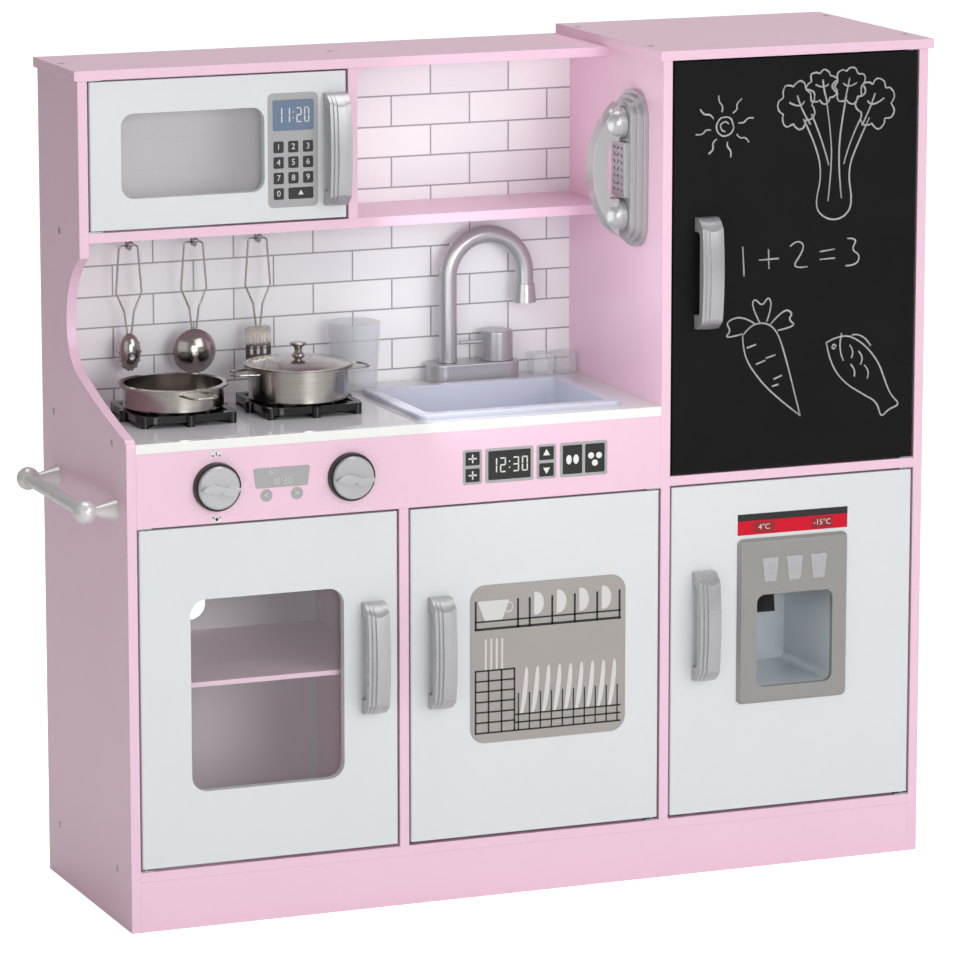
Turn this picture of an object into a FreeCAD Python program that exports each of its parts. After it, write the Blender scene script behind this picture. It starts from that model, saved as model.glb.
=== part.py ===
import FreeCAD, Part
import math
import os

# Toy kitchen for a small child: painted 9 mm board, plastic fittings, steel pots.
# Working axes in millimetres: X to the right from the outer face of the left side
# panel, Y to the back from the flush front, Z up from the floor. save() moves every
# piece so that the origin is the middle of the whole object's footprint.

V = FreeCAD.Vector
X = V(1, 0, 0)
Y = V(0, 1, 0)
Z = V(0, 0, 1)

# --- cabinet boards ---------------------------------------------------------------------
BOARD = 9.0  # side panels, shelves, doors, worktop
BAY = 252.0  # clear width of each of the three bays
DEPTH = 246.0  # side panels, front to back
BACK_BOARD = 3.0  # tile panel and back panels
BACK_INSET = 23.0  # from the rear edges to the back of the back panels
UPPER_DEPTH = 119.0  # microwave and open shelf, front to the rear edges
PLINTH_HEIGHT = 47.0
CONTROL_HEIGHT = 68.0
WORKTOP_TOP = 451.0
UPPER_SHELF_BOTTOM = 614.5
MID_SHELF_BOTTOM = 375.0
CARCASS_TOP = 772.5  # underside of the refrigerator's top board
TOP_OVERHANG_SIDE = 4.0
TOP_OVERHANG_FRONT = 3.5
OVEN_SHELF_TOP = 225.0
OVEN_SHELF_BOARD = 4.5
OVEN_SHELF_SETBACK = 15.0
CABLE_HOLE_R = 15.0
CABLE_HOLE_ABOVE_SHELF = 25.0

# --- left side panel's cut-back front edge ----------------------------------------------
SWEEP_NOSE_DROP = 13.5  # below the upper shelf
SWEEP_DEEPEST_BACK = 42.0  # behind the upper front
SWEEP_DEEPEST_RISE = 87.0  # above the worktop
SWEEP_ABOVE_WORKTOP = 4.5  # where the sweep meets the front, over the worktop
SWEEP_CORNER_R = 8.0
SWEEP_TURN = V(0, 38.0, 38.5)  # where the hollow meets the long low curve
SWEEP_UPPER_BEND = V(0, 9.5, 33.5)  # from the deepest point, forward and up
SWEEP_LOWER_BEND = V(0, 9.0, 30.0)  # from the deepest point, forward and down
SWEEP_LONG_RISE = 18.0  # the long curve's middle, over the worktop

# --- doors and their pivots -------------------------------------------------------------
DOOR_GAP = 2.0
LOWER_DOOR_FOOT_GAP = 3.0
DOOR_EDGE_R = 1.5
PIVOT_PIN_R = 2.0
PIVOT_PIN_INTO_DOOR = 8.0
PIVOT_RUN = 0.05
PIVOT_PLATE = 1.2
PIVOT_PLATE_LENGTH = 14.0
PIVOT_PLATE_WIDTH = 7.0
MAGNET_SIZE = V(8.0, 18.0, 11.0)
MAGNET_GAP = 0.4
MAGNET_DROP = 22.0
WINDOW_PANE = 2.0
WINDOW_LAP = 8.0
# distances in from an opening's left, right, bottom and top
MICROWAVE_WINDOW_IN = (31.8, 82.1, 29.8, 32.3)
MICROWAVE_WINDOW_R = 12.0
OVEN_WINDOW_IN = (50.0, 54.3, 70.6, 69.2)
OVEN_WINDOW_R = 15.0

# --- pull handles -----------------------------------------------------------------------
PULL_LENGTH = 104.0
PULL_WIDTH = 21.0
PULL_PROUD = 25.0
PULL_FOOT = 13.0
PULL_BAR = 9.0
PULL_STEP = 2.2  # each of the two raised bands
PULL_BAND_INSET = 3.2
PULL_SHOULDER = 0.62  # share of the reach at the bend of each shoulder
PULL_SHOULDER_FOOT = 0.55  # share of the shoulder that rises straight from the door
PULL_CROWN_START = 0.86  # share of the reach where the crown's arc begins
PULL_CROWN_SETBACK = 0.45  # crown's end in from the handle's end, as a share of the reach
PULL_SHOULDER_BEND = 0.42
PULL_GAP_R = 5.0
# each handle's middle: in from its door's free edge, and up from the opening's foot
PULL_FROM_EDGE = {"microwave": 12.0, "oven": 25.0, "dishwasher": 27.5, "freezer": 32.0, "fridge": 32.0}
PULL_RISE = {"microwave": 66.5, "oven": 182.0, "dishwasher": 181.0, "freezer": 190.0, "fridge": 184.0}

# --- printed stickers -------------------------------------------------------------------
STICKER = 0.3
KEYPAD_WIDTH = 48.8
KEYPAD_IN = (30.0, 14.1, 20.2)  # from the microwave opening's right, bottom and top
KEYPAD_R = 5.0
RACK_STICKER_IN = (60.4, 35.6, 90.2, 78.2)
RACK_STICKER_R = 15.0
# left and right edges from the middle bay's left, then heights over the control panel's foot
SMALL_STICKER_EDGES = [(53.6, 72.2), (75.7, 123.2), (126.6, 146.0), (149.9, 197.2)]
SMALL_STICKER_RISE = (17.3, 49.5)
SMALL_STICKER_R = 2.0
CLOCK_TOP_WIDTH = 54.7
CLOCK_BOTTOM_WIDTH = 49.7
CLOCK_HEIGHT = 18.4
CLOCK_SHARE = 0.54841  # of the bay's width, from its left
CLOCK_RISE = 38.1
CLOCK_BUTTON_R = 5.7
CLOCK_BUTTON_SPACING = 29.5
CLOCK_BUTTON_RISE = 22.0

# --- oven knobs -------------------------------------------------------------------------
KNOB_SHARES = (0.30119, 0.81349)  # of the bay's width, from its left
KNOB_RISE = 33.5
BEZEL_R = 22.5
BEZEL_RIM = 2.4
BEZEL_DEPTH = 5.0
BEZEL_FLOOR = 2.0
KNOB_GAP = 0.4
KNOB_DISC = 6.5
KNOB_RIDGE = 7.0
KNOB_RIDGE_WIDTH = 9.0
KNOB_SHAFT_R = 3.0
KNOB_RUN = 0.05
KNOB_COLLAR_R = 5.5
KNOB_COLLAR = 2.0
KNOB_EDGE = 1.2
WAVE_SWING = 4.2  # sideways bend of the grip
WAVE_TIP = 0.5
WAVE_IN = 1.5  # grip's ends inside the knob's rim
BEZEL_TAPER = 0.6

# --- sink and tap -----------------------------------------------------------------------
SINK_IN = (17.0, 32.0, 15.0)  # rim, in from the bay's left, right and front
SINK_TO_TAP = 32.0
SINK_RIM = 12.0
SINK_RIM_HEIGHT = 5.0
SINK_DEPTH = 46.0
SINK_WALL = 2.0
SINK_CORNER_R = 10.0
SINK_CUT_GAP = 0.5
SINK_RIM_ROUND = 2.2
SINK_FLOOR_R = 6.0
TAP_EDGE_R = 1.5
TAP_BASE_FLAT = 3.0  # straight part left at each rounded end
NOZZLE_BORE = 8.0
TAP_FROM_TILES = 20.0
TAP_FROM_FRIDGE = 154.0  # the base's left end
TAP_BASE_LENGTH = 91.0
TAP_BASE_WIDTH = 34.0
TAP_BASE_HEIGHT = 18.0
SPOUT_R = 8.6
SPOUT_ARCH_R = 39.3
SPOUT_INSET = 20.5  # spout's middle from the base's left end
SPOUT_ARCH_RISE = 99.5
SPOUT_DROP = 10.0
NOZZLE_TOP_R = 9.6
NOZZLE_TIP_R = 11.4
NOZZLE_LENGTH = 18.0
NOZZLE_BORE_R = 8.0
SPIGOT_R = 5.0
SPIGOT_LENGTH = 12.0
TAP_RUN = 0.05
TAP_LIFT = 0.4
TAP_HANDLE_R = 15.5
TAP_HANDLE_HEIGHT = 28.0
TAP_HANDLE_INSET = 20.5  # handle's middle from the base's right end
TAP_LEVER_R = 1.8
TAP_LEVER_REACH = 36.5
TAP_LEVER_Z = 17.5

# --- pan supports, pots, lid ------------------------------------------------------------
HOB_SHARES = (0.29762, 0.78175)  # of the bay's width, from its left
HOB_FROM_TILES = 105.0
SUPPORT_SPACE = 19.0  # between the two supports
SUPPORT_HEIGHT = 10.5
SUPPORT_BAR = 7.0
SUPPORT_TOP = 6.5
SUPPORT_CORNER_R = 16.0
SUPPORT_CAP_R = 23.0
SUPPORT_CAP_HEIGHT = 6.5
SUPPORT_BARS = 8
SUPPORT_RIB = 4.0  # width of each bar
SUPPORT_DIAGONAL = 1.24  # corner bars' reach against the straight ones'
SUPPORT_LOBE = 0.6  # lobe's radius as a share of the frame bar
REST_GAP = 0.2
POT_SPACE = 20.0  # between the two rims
POT_LIP = 4.5  # rim outside the wall
POT_WALL = 1.2
POT_RIM = 1.6
LEFT_POT_HEIGHT = 22.5
RIGHT_POT_HEIGHT = 31.5
POT_WIRE_R = 1.1
POT_LOOP_REACH = 21.0
POT_LOOP_WIDTH = 30.0
POT_LOOP_DROP = 5.0
LEFT_POT_LOOP_AZ = -82.0
RIGHT_POT_LOOP_AZ = 1.0
LID_IN = 1.0  # lid's edge inside the rim's
LID_DOME = 6.5
LID_SHEET = 1.2
LID_PLUG_GAP = 0.8
LID_PLUG = 3.0
LID_KNOB_R = 8.0
LID_KNOB_HEIGHT = 12.5

# --- utensils on hooks ------------------------------------------------------------------
UTENSIL_FROM_SIDE = [60.7, 124.2, 187.3]
UTENSIL_FROM_TILES = 23.0
UTENSIL_DROP = 14.9  # below the upper shelf
UTENSIL_WIRE_R = 0.95
HOOK_R = 1.3
HOOK_PAD_R = 6.0
HOOK_PAD = 2.0
HOOK_BACK = 6.0
HOOK_FRONT = 6.0
HOOK_TIP_R = 2.8
HOOK_PLAY = 0.6
LOOP_TOP_HALF = 9.0
LOOP_WIDE_HALF = 12.4
LOOP_WIDE_DROP = 44.0
LOOP_NARROW_HALF = 4.6
LOOP_NARROW_DROP = 62.0
LOOP_NECK_HALF = 1.6
LOOP_NECK_DROP = 86.0
LADLE_BOWL_R = 21.0
LADLE_BOWL_DEPTH = 10.0
SERVER_BOWL_R = 10.5
SERVER_BOWL_LENGTH = 35.0
SPATULA_WIDTH = 25.0
SPATULA_LENGTH = 36.0
SPATULA_SLOT = (3.2, 8.0)
SPATULA_SLOT_STEP = (6.6, 11.0)  # across, down
SPATULA_SLOT_TOP = 8.0  # first slots, below the blade's top
SPATULA_CORNER_R = 3.0
SERVER_BOWL_DEPTH = 8.5
SERVER_HOLE_R = 2.6
SERVER_HOLE_DROP = 4.0
SERVER_PRONG_R = 1.3
SERVER_PRONG = 7.5
SERVER_PRONG_TURNS = (-150, -125, -100, -80, -55, -30, 0, 180, 30, 150)
SHEET = 1.2

# --- tumbler and ice cubes --------------------------------------------------------------
CUP_FROM = (21.0, 26.5)  # from the bay's left and from the tiles
CUP_TOP_R = 25.0
CUP_BOTTOM_R = 21.5
CUP_HEIGHT = 64.0
CUP_WALL = 1.6
CUBE = 20.5
CUBE_FROM_FRIDGE = [47.0, 23.7]
CUBE_FROM_TILES = 27.0
CUBE_EDGE_R = 1.6

# --- wall telephone ---------------------------------------------------------------------
PHONE_SHARE = 0.48819  # of the depth in front of the upper shelf
PHONE_DROP = 106.5  # below the refrigerator's top board
PHONE_BASE = (58.0, 146.0)  # width, height of the plate on the panel
PHONE_STEP = 4.8
PHONE_STEP_INSET = 4.2
PHONE_POD_SPACING = 86.0
PHONE_POD_R = 15.0
PHONE_COLLAR = 6.0
PHONE_GAP = 0.4
PHONE_REACH = 47.0
PHONE_HEIGHT = 124.0
PHONE_GRIP_WIDTH = 18.0
PHONE_GRIP = 14.5
PHONE_GRILLE = (30.0, 52.0)
PHONE_GRILLE_PROUD = 4.0
PHONE_SLOT = (4.5, 1.8, 1.5)  # length, height, depth
PHONE_SLOT_STEP = (8.4, 6.6)  # across, up
PHONE_SLOT_TILT = 35
PHONE_SLOT_ROWS = 7

# --- towel rail -------------------------------------------------------------------------
RAIL_DROP = 64.5  # below the worktop
RAIL_FRONT_Y = 33.0
RAIL_ENDS = 76.0  # depth that the rail's two ends leave free
RAIL_REACH = 28.5
RAIL_BALL_R = 10.8
RAIL_FOOT_R = 10.5
RAIL_NECK_R = 4.5
RAIL_FOOT_LENGTH = 19.5
RAIL_BAR_R = 6.2
RAIL_FIT = 0.05

# --- ice dispenser in the refrigerator door ---------------------------------------------
DISPENSER_IN = (69.5, 69.2, 104.2, 56.3)
DISPENSER_PROUD = 4.5
DISPENSER_EDGE = 3.0
DISPENSER_CORNER_R = 5.5
DISPENSER_OPENING_IN = (18.9, 15.9, 15.6, 53.9)
DISPENSER_OPENING_R = 8.0
DISPENSER_FROM_BACK = 116.0
DISPENSER_WALL = 2.0
DISPENSER_HEADROOM = 12.0
DISPENSER_FIT = 0.3
LEVER_FROM_REAR = 26.0
LEVER_WIDTH = 34.0
LEVER_LENGTH = 42.0
LEVER_THICK = 3.0
LEVER_SHAFT_R = 2.0
LEVER_RUN = 0.05
LEVER_BELOW_CEILING = 6.0

# --- screws -----------------------------------------------------------------------------
SCREW_HEAD_R = 3.4
SCREW_HEAD = 1.6
SCREW_SHANK_R = 1.9
SCREW_LENGTH = 34.0
SCREW_FIT = 0.1
SCREW_FRONT_Y = 41.0
SCREW_REAR = 34.0
SCREW_UPPER = 33.0

# --- places worked out from the sizes above ---------------------------------------------
BAY1 = BOARD
DIVIDER_X = BAY1 + BAY
BAY2 = DIVIDER_X + BOARD
FRIDGE_X = BAY2 + BAY
BAY3 = FRIDGE_X + BOARD
RIGHT_X = BAY3 + BAY
WIDTH = RIGHT_X + BOARD
BACK_FACE = DEPTH - BACK_INSET - BACK_BOARD
FLOOR_SHELF_TOP = PLINTH_HEIGHT + BOARD
WORKTOP_BOTTOM = WORKTOP_TOP - BOARD
CONTROL_BOTTOM = WORKTOP_BOTTOM - CONTROL_HEIGHT
UPPER_SHELF_TOP = UPPER_SHELF_BOTTOM + BOARD
LEFT_TOP_BOTTOM = CARCASS_TOP - BOARD
MID_SHELF_TOP = MID_SHELF_BOTTOM + BOARD
PIVOT_INSET = BOARD / 2
FRONT_REACH = PULL_PROUD
LEFT_REACH = RAIL_REACH + RAIL_BALL_R
CENTRE_X = (WIDTH + TOP_OVERHANG_SIDE - LEFT_REACH) / 2
CENTRE_Y = (DEPTH - FRONT_REACH) / 2


def inside(left, right, bottom, top, distances):
    """A rectangle set in from another's left, right, bottom and top."""
    in_left, in_right, in_bottom, in_top = distances
    return left + in_left, right - in_right, bottom + in_bottom, top - in_top


UPPER_SETBACK = DEPTH - UPPER_DEPTH
SWEEP_NOSE_Z = UPPER_SHELF_BOTTOM - SWEEP_NOSE_DROP
SWEEP_DEEPEST_Y = UPPER_SETBACK + SWEEP_DEEPEST_BACK
SWEEP_DEEPEST_Z = WORKTOP_TOP + SWEEP_DEEPEST_RISE
MICROWAVE_WINDOW = inside(BAY1, DIVIDER_X, UPPER_SHELF_TOP, LEFT_TOP_BOTTOM, MICROWAVE_WINDOW_IN)
OVEN_WINDOW = inside(BAY1, DIVIDER_X, FLOOR_SHELF_TOP, CONTROL_BOTTOM, OVEN_WINDOW_IN)
RACK_STICKER = inside(BAY2, FRIDGE_X, FLOOR_SHELF_TOP, CONTROL_BOTTOM, RACK_STICKER_IN)
DISPENSER = inside(BAY3, RIGHT_X, FLOOR_SHELF_TOP, MID_SHELF_BOTTOM, DISPENSER_IN)
DISPENSER_OPENING = inside(*DISPENSER, DISPENSER_OPENING_IN)
DISPENSER_DEPTH = BACK_FACE - DISPENSER_FROM_BACK
LEVER_Y = DISPENSER_DEPTH - LEVER_FROM_REAR
KEYPAD_RIGHT = DIVIDER_X - KEYPAD_IN[0]
KEYPAD_Z = (UPPER_SHELF_TOP + KEYPAD_IN[1], LEFT_TOP_BOTTOM - KEYPAD_IN[2])
KEYPAD = (KEYPAD_RIGHT - KEYPAD_WIDTH, KEYPAD_RIGHT, *KEYPAD_Z)
SMALL_STICKERS = [(BAY2 + left, BAY2 + right) for left, right in SMALL_STICKER_EDGES]
SMALL_STICKER_Z = tuple(CONTROL_BOTTOM + rise for rise in SMALL_STICKER_RISE)
CLOCK_MIDDLE = (BAY1 + BAY * CLOCK_SHARE, CONTROL_BOTTOM + CLOCK_RISE)
CLOCK_BUTTON_Z = CONTROL_BOTTOM + CLOCK_BUTTON_RISE
KNOB_X = [BAY1 + BAY * share for share in KNOB_SHARES]
KNOB_Z = CONTROL_BOTTOM + KNOB_RISE
TAP_Y = BACK_FACE - TAP_FROM_TILES
TAP_BASE_LEFT = FRIDGE_X - TAP_FROM_FRIDGE
SINK = (BAY2 + SINK_IN[0], FRIDGE_X - SINK_IN[1], SINK_IN[2], TAP_Y - SINK_TO_TAP)
SPOUT_ARCH_Z = WORKTOP_TOP + SPOUT_ARCH_RISE
HOB_X = [BAY1 + BAY * share for share in HOB_SHARES]
HOB_Y = BACK_FACE - HOB_FROM_TILES
HOB_SPACING = HOB_X[1] - HOB_X[0]
SUPPORT_SIZE = HOB_SPACING - SUPPORT_SPACE
POT_RIM_R = (HOB_SPACING - POT_SPACE) / 2
POT_R = POT_RIM_R - POT_LIP
LID_R = POT_RIM_R - LID_IN
UTENSIL_X = [BAY1 + distance for distance in UTENSIL_FROM_SIDE]
UTENSIL_Y = BACK_FACE - UTENSIL_FROM_TILES
UTENSIL_TOP = UPPER_SHELF_BOTTOM - UTENSIL_DROP
CUP_AT = (BAY2 + CUP_FROM[0], BACK_FACE - CUP_FROM[1])
CUBE_X = [FRIDGE_X - distance for distance in CUBE_FROM_FRIDGE]
CUBE_Y = BACK_FACE - CUBE_FROM_TILES
PHONE_Y = UPPER_SETBACK * PHONE_SHARE
PHONE_Z = CARCASS_TOP - PHONE_DROP
RAIL_Z = WORKTOP_TOP - RAIL_DROP
RAIL_SPACING = DEPTH - RAIL_ENDS
SCREW_REAR_Y = DEPTH - SCREW_REAR
SCREW_UPPER_Y = BACK_FACE - SCREW_UPPER


def save(name, *solids):
    """Write one node, moved so that the origin is the footprint's middle."""
    shape = solids[0] if len(solids) == 1 else Part.makeCompound(list(solids))
    shape = shape.copy()
    shape.translate(V(-CENTRE_X, -CENTRE_Y, 0))
    shape.exportStep("parts/" + name + ".step")


def block(x0, x1, y0, y1, z0, z1):
    return Part.makeBox(x1 - x0, y1 - y0, z1 - z0, V(x0, y0, z0))


def front_slab(rect, radius, y0, y1):
    """A plate facing the front, with rounded corners; rect is left, right, bottom, top."""
    x0, x1, z0, z1 = rect
    plate = block(x0, x1, y0, y1, z0, z1)
    return round_edges(plate, radius, Y)


def round_edges(solid, radius, direction):
    """Round the straight edges of a solid that run along a direction."""
    chosen = []
    for edge in solid.Edges:
        if isinstance(edge.Curve, Part.Line):
            tangent = edge.tangentAt(edge.FirstParameter)
            if abs(tangent.dot(direction)) > 0.999:
                chosen.append(edge)
    return solid.makeFillet(radius, chosen)


def rod(start, end, radius):
    run = end - start
    return Part.makeCylinder(radius, run.Length, start, run)


def bent_rod(points, radius, bend):
    """A round wire through points, with each corner turned on a tangent arc."""
    edges = []
    last = points[0]
    for before, corner, after in zip(points, points[1:], points[2:]):
        into = (before - corner).normalize()
        out = (after - corner).normalize()
        half = into.getAngle(out) / 2
        back = bend / math.tan(half)
        first = corner + into * back
        second = corner + out * back
        middle = corner + (into + out).normalize() * (bend / math.sin(half) - bend)
        edges.append(Part.makeLine(last, first))
        edges.append(Part.Arc(first, middle, second).toShape())
        last = second
    edges.append(Part.makeLine(last, points[-1]))
    path = Part.Wire(edges)
    ring = Part.Wire(Part.makeCircle(radius, points[0], points[1] - points[0]))
    return path.makePipeShell([ring], True, False)


def turned(profile, centre, axis):
    """Revolve (radius, height) points about an axis through a point."""
    points = [V(r, 0, h) for r, h in profile]
    face = Part.Face(Part.makePolygon(points + [points[0]]))
    solid = face.revolve(V(0, 0, 0), Z, 360)
    turn = FreeCAD.Rotation(Z, axis)
    solid.Placement = FreeCAD.Placement(centre, turn)
    return solid


def outline_solid(points, thickness, normal):
    """Extrude a closed polygon along its normal."""
    face = Part.Face(Part.makePolygon(points + [points[0]]))
    return face.extrude(normal * thickness)


# --- screws hold the boards together; every board is drilled for them -------------------
def screw_places():
    places = []
    for z in (FLOOR_SHELF_TOP - BOARD / 2, WORKTOP_TOP - BOARD / 2):
        places += [(V(0, y, z), X) for y in (SCREW_FRONT_Y, SCREW_REAR_Y)]
    places.append((V(0, SCREW_UPPER_Y, UPPER_SHELF_BOTTOM + BOARD / 2), X))
    for z in (FLOOR_SHELF_TOP - BOARD / 2, MID_SHELF_BOTTOM + BOARD / 2):
        places += [(V(WIDTH, y, z), -X) for y in (SCREW_FRONT_Y, SCREW_REAR_Y)]
    for x in (BOARD / 2, DIVIDER_X + BOARD / 2):
        places.append((V(x, SCREW_UPPER_Y, CARCASS_TOP), -Z))
    for x in (FRIDGE_X + BOARD / 2, RIGHT_X + BOARD / 2):
        places += [(V(x, y, CARCASS_TOP + BOARD), -Z) for y in (SCREW_FRONT_Y, SCREW_REAR_Y)]
    return places


def screw(place, fit=0.0):
    at, way = place
    head = Part.makeCylinder(SCREW_HEAD_R + fit, SCREW_HEAD + fit, at, way)
    shank = Part.makeCylinder(SCREW_SHANK_R + fit, SCREW_LENGTH + fit, at, way)
    return head.fuse(shank)


SCREW_HOLES = Part.makeCompound([screw(place, SCREW_FIT) for place in screw_places()])


def drilled(board):
    return board.cut(SCREW_HOLES)


# --- cabinet ----------------------------------------------------------------------------
def left_side_panel():
    sweep_start = V(0, UPPER_SETBACK, SWEEP_NOSE_Z)
    deepest = V(0, SWEEP_DEEPEST_Y, SWEEP_DEEPEST_Z)
    turn_y = SWEEP_DEEPEST_Y - SWEEP_TURN.y
    turn = V(0, turn_y, WORKTOP_TOP + SWEEP_TURN.z)
    low = V(0, SWEEP_CORNER_R, WORKTOP_TOP + SWEEP_ABOVE_WORKTOP)
    corner = V(0, 0, low.z - SWEEP_CORNER_R)
    rise = SWEEP_CORNER_R * (1 - math.sqrt(0.5))
    upper_mid = V(0, deepest.y - SWEEP_UPPER_BEND.y, deepest.z + SWEEP_UPPER_BEND.z)
    lower_mid = V(0, deepest.y - SWEEP_LOWER_BEND.y, deepest.z - SWEEP_LOWER_BEND.z)
    long_mid = V(0, turn_y / 2, WORKTOP_TOP + SWEEP_LONG_RISE)
    edges = [
        Part.makeLine(V(0, DEPTH, 0), V(0, DEPTH, LEFT_TOP_BOTTOM)),
        Part.makeLine(V(0, DEPTH, LEFT_TOP_BOTTOM), V(0, UPPER_SETBACK, LEFT_TOP_BOTTOM)),
        Part.makeLine(V(0, UPPER_SETBACK, LEFT_TOP_BOTTOM), sweep_start),
        Part.Arc(sweep_start, upper_mid, deepest).toShape(),
        Part.Arc(deepest, lower_mid, turn).toShape(),
        Part.Arc(turn, long_mid, low).toShape(),
        Part.Arc(low, V(0, rise, low.z - rise), corner).toShape(),
        Part.makeLine(corner, V(0, 0, 0)),
        Part.makeLine(V(0, 0, 0), V(0, DEPTH, 0)),
    ]
    return drilled(Part.Face(Part.Wire(edges)).extrude(X * BOARD))


def right_side_panel():
    return drilled(block(RIGHT_X, WIDTH, 0, DEPTH, 0, CARCASS_TOP))


def fridge_side_panel():
    return drilled(block(FRIDGE_X, BAY3, 0, DEPTH, FLOOR_SHELF_TOP, CARCASS_TOP))


def lower_divider():
    board = block(DIVIDER_X, BAY2, 0, BACK_FACE, FLOOR_SHELF_TOP, WORKTOP_BOTTOM)
    notch = block(DIVIDER_X, BAY2, 0, BOARD, CONTROL_BOTTOM, WORKTOP_BOTTOM)
    return board.cut(notch)


def microwave_divider():
    board = block(DIVIDER_X, BAY2, UPPER_SETBACK, BACK_FACE, UPPER_SHELF_TOP, LEFT_TOP_BOTTOM)
    return drilled(board)


def worktop():
    board = block(BAY1, FRIDGE_X, 0, DEPTH, WORKTOP_BOTTOM, WORKTOP_TOP)
    board = board.cut(sink_outer(SINK_CUT_GAP))
    return drilled(board)


def control_panel():
    panel = block(BAY1, FRIDGE_X, 0, BOARD, CONTROL_BOTTOM, WORKTOP_BOTTOM)
    for x in KNOB_X:
        panel = panel.cut(rod(V(x, -1, KNOB_Z), V(x, BOARD + 1, KNOB_Z), KNOB_SHAFT_R + KNOB_RUN))
    return panel


def lower_back_panel():
    panel = block(BAY1, FRIDGE_X, BACK_FACE, BACK_FACE + BACK_BOARD, FLOOR_SHELF_TOP, WORKTOP_BOTTOM)
    at = V(BAY1 + BAY / 2, BACK_FACE - 1, OVEN_SHELF_TOP + CABLE_HOLE_ABOVE_SHELF)
    return panel.cut(Part.makeCylinder(CABLE_HOLE_R, BACK_BOARD + 2, at, Y))


def make_cabinet():
    save("left_side_panel", left_side_panel())
    save("right_side_panel", right_side_panel())
    save("fridge_side_panel", fridge_side_panel())
    save("lower_divider", lower_divider())
    save("microwave_divider", microwave_divider())
    save("bottom_shelf", drilled(block(BAY1, RIGHT_X, 0, DEPTH, PLINTH_HEIGHT, FLOOR_SHELF_TOP)))
    save("plinth_board", block(BAY1, RIGHT_X, 0, BOARD, 0, PLINTH_HEIGHT))
    save("worktop", worktop())
    save("control_panel", control_panel())
    upper = block(BAY1, FRIDGE_X, UPPER_SETBACK, BACK_FACE, UPPER_SHELF_BOTTOM, UPPER_SHELF_TOP)
    save("upper_shelf", drilled(upper))
    left_end = -TOP_OVERHANG_SIDE
    front = UPPER_SETBACK - TOP_OVERHANG_FRONT
    save("left_top_board", drilled(block(left_end, FRIDGE_X, front, DEPTH, LEFT_TOP_BOTTOM, CARCASS_TOP)))
    fridge_left = FRIDGE_X - TOP_OVERHANG_SIDE
    fridge_right = WIDTH + TOP_OVERHANG_SIDE
    top = CARCASS_TOP + BOARD
    fridge_top = block(fridge_left, fridge_right, -TOP_OVERHANG_FRONT, DEPTH, CARCASS_TOP, top)
    save("fridge_top_board", drilled(fridge_top))
    save("fridge_mid_shelf", drilled(block(BAY3, RIGHT_X, 0, BACK_FACE, MID_SHELF_BOTTOM, MID_SHELF_TOP)))
    oven_bottom = OVEN_SHELF_TOP - OVEN_SHELF_BOARD
    oven = block(BAY1, DIVIDER_X, OVEN_SHELF_SETBACK, BACK_FACE, oven_bottom, OVEN_SHELF_TOP)
    save("oven_shelf", oven)
    back = (BACK_FACE, BACK_FACE + BACK_BOARD)
    save("tile_panel", block(BAY1, FRIDGE_X, *back, WORKTOP_TOP, LEFT_TOP_BOTTOM))
    save("lower_back_panel", lower_back_panel())
    save("fridge_back_panel", block(BAY3, RIGHT_X, *back, FLOOR_SHELF_TOP, CARCASS_TOP))
    save("cabinet_screws", *[screw(place) for place in screw_places()])


# --- doors ------------------------------------------------------------------------------
# Each opening: left, right, bottom, top, front face, hinge side, gap under the door.
OPENINGS = {
    "microwave": (BAY1, DIVIDER_X, UPPER_SHELF_TOP, LEFT_TOP_BOTTOM, UPPER_SETBACK, "left", DOOR_GAP),
    "oven": (BAY1, DIVIDER_X, FLOOR_SHELF_TOP, CONTROL_BOTTOM, 0, "left", LOWER_DOOR_FOOT_GAP),
    "dishwasher": (BAY2, FRIDGE_X, FLOOR_SHELF_TOP, CONTROL_BOTTOM, 0, "right", LOWER_DOOR_FOOT_GAP),
    "freezer": (BAY3, RIGHT_X, MID_SHELF_TOP, CARCASS_TOP, 0, "right", DOOR_GAP),
    "fridge": (BAY3, RIGHT_X, FLOOR_SHELF_TOP, MID_SHELF_BOTTOM, 0, "right", LOWER_DOOR_FOOT_GAP),
}


def door_rect(name):
    left, right, bottom, top, front, side, foot = OPENINGS[name]
    return left + DOOR_GAP, right - DOOR_GAP, bottom + foot, top - DOOR_GAP


def pivot_x(name):
    left, right = door_rect(name)[:2]
    return left + PIVOT_INSET if OPENINGS[name][5] == "left" else right - PIVOT_INSET


def pivot_y(name):
    return OPENINGS[name][4] + PIVOT_INSET


def door_panel(name):
    x0, x1, z0, z1 = door_rect(name)
    front = OPENINGS[name][4]
    panel = round_edges(block(x0, x1, front, front + BOARD, z0, z1), DOOR_EDGE_R, Z)
    radius = PIVOT_PIN_R + PIVOT_RUN
    depth = PIVOT_PIN_INTO_DOOR + 1
    at = V(pivot_x(name), pivot_y(name), z0)
    panel = panel.cut(Part.makeCylinder(radius, depth, at, Z))
    return panel.cut(Part.makeCylinder(radius, depth, V(at.x, at.y, z1), -Z))


def pivot(name, end):
    """One plate with its pin, on the board under or over a door."""
    left, right, bottom, top, front, side, foot = OPENINGS[name]
    x = pivot_x(name)
    y = pivot_y(name)
    way = Z if end == "foot" else -Z
    face = bottom if end == "foot" else top
    gap = foot if end == "foot" else DOOR_GAP
    long_way = 1 if side == "left" else -1
    wall_x = left if side == "left" else right
    x_ends = sorted((wall_x, wall_x + long_way * PIVOT_PLATE_LENGTH))
    z_ends = sorted((face, face + way.z * PIVOT_PLATE))
    half = PIVOT_PLATE_WIDTH / 2
    plate = block(*x_ends, y - half, y + half, *z_ends)
    pin = Part.makeCylinder(PIVOT_PIN_R, gap + PIVOT_PIN_INTO_DOOR, V(x, y, face), way)
    return plate.fuse(pin)


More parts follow.
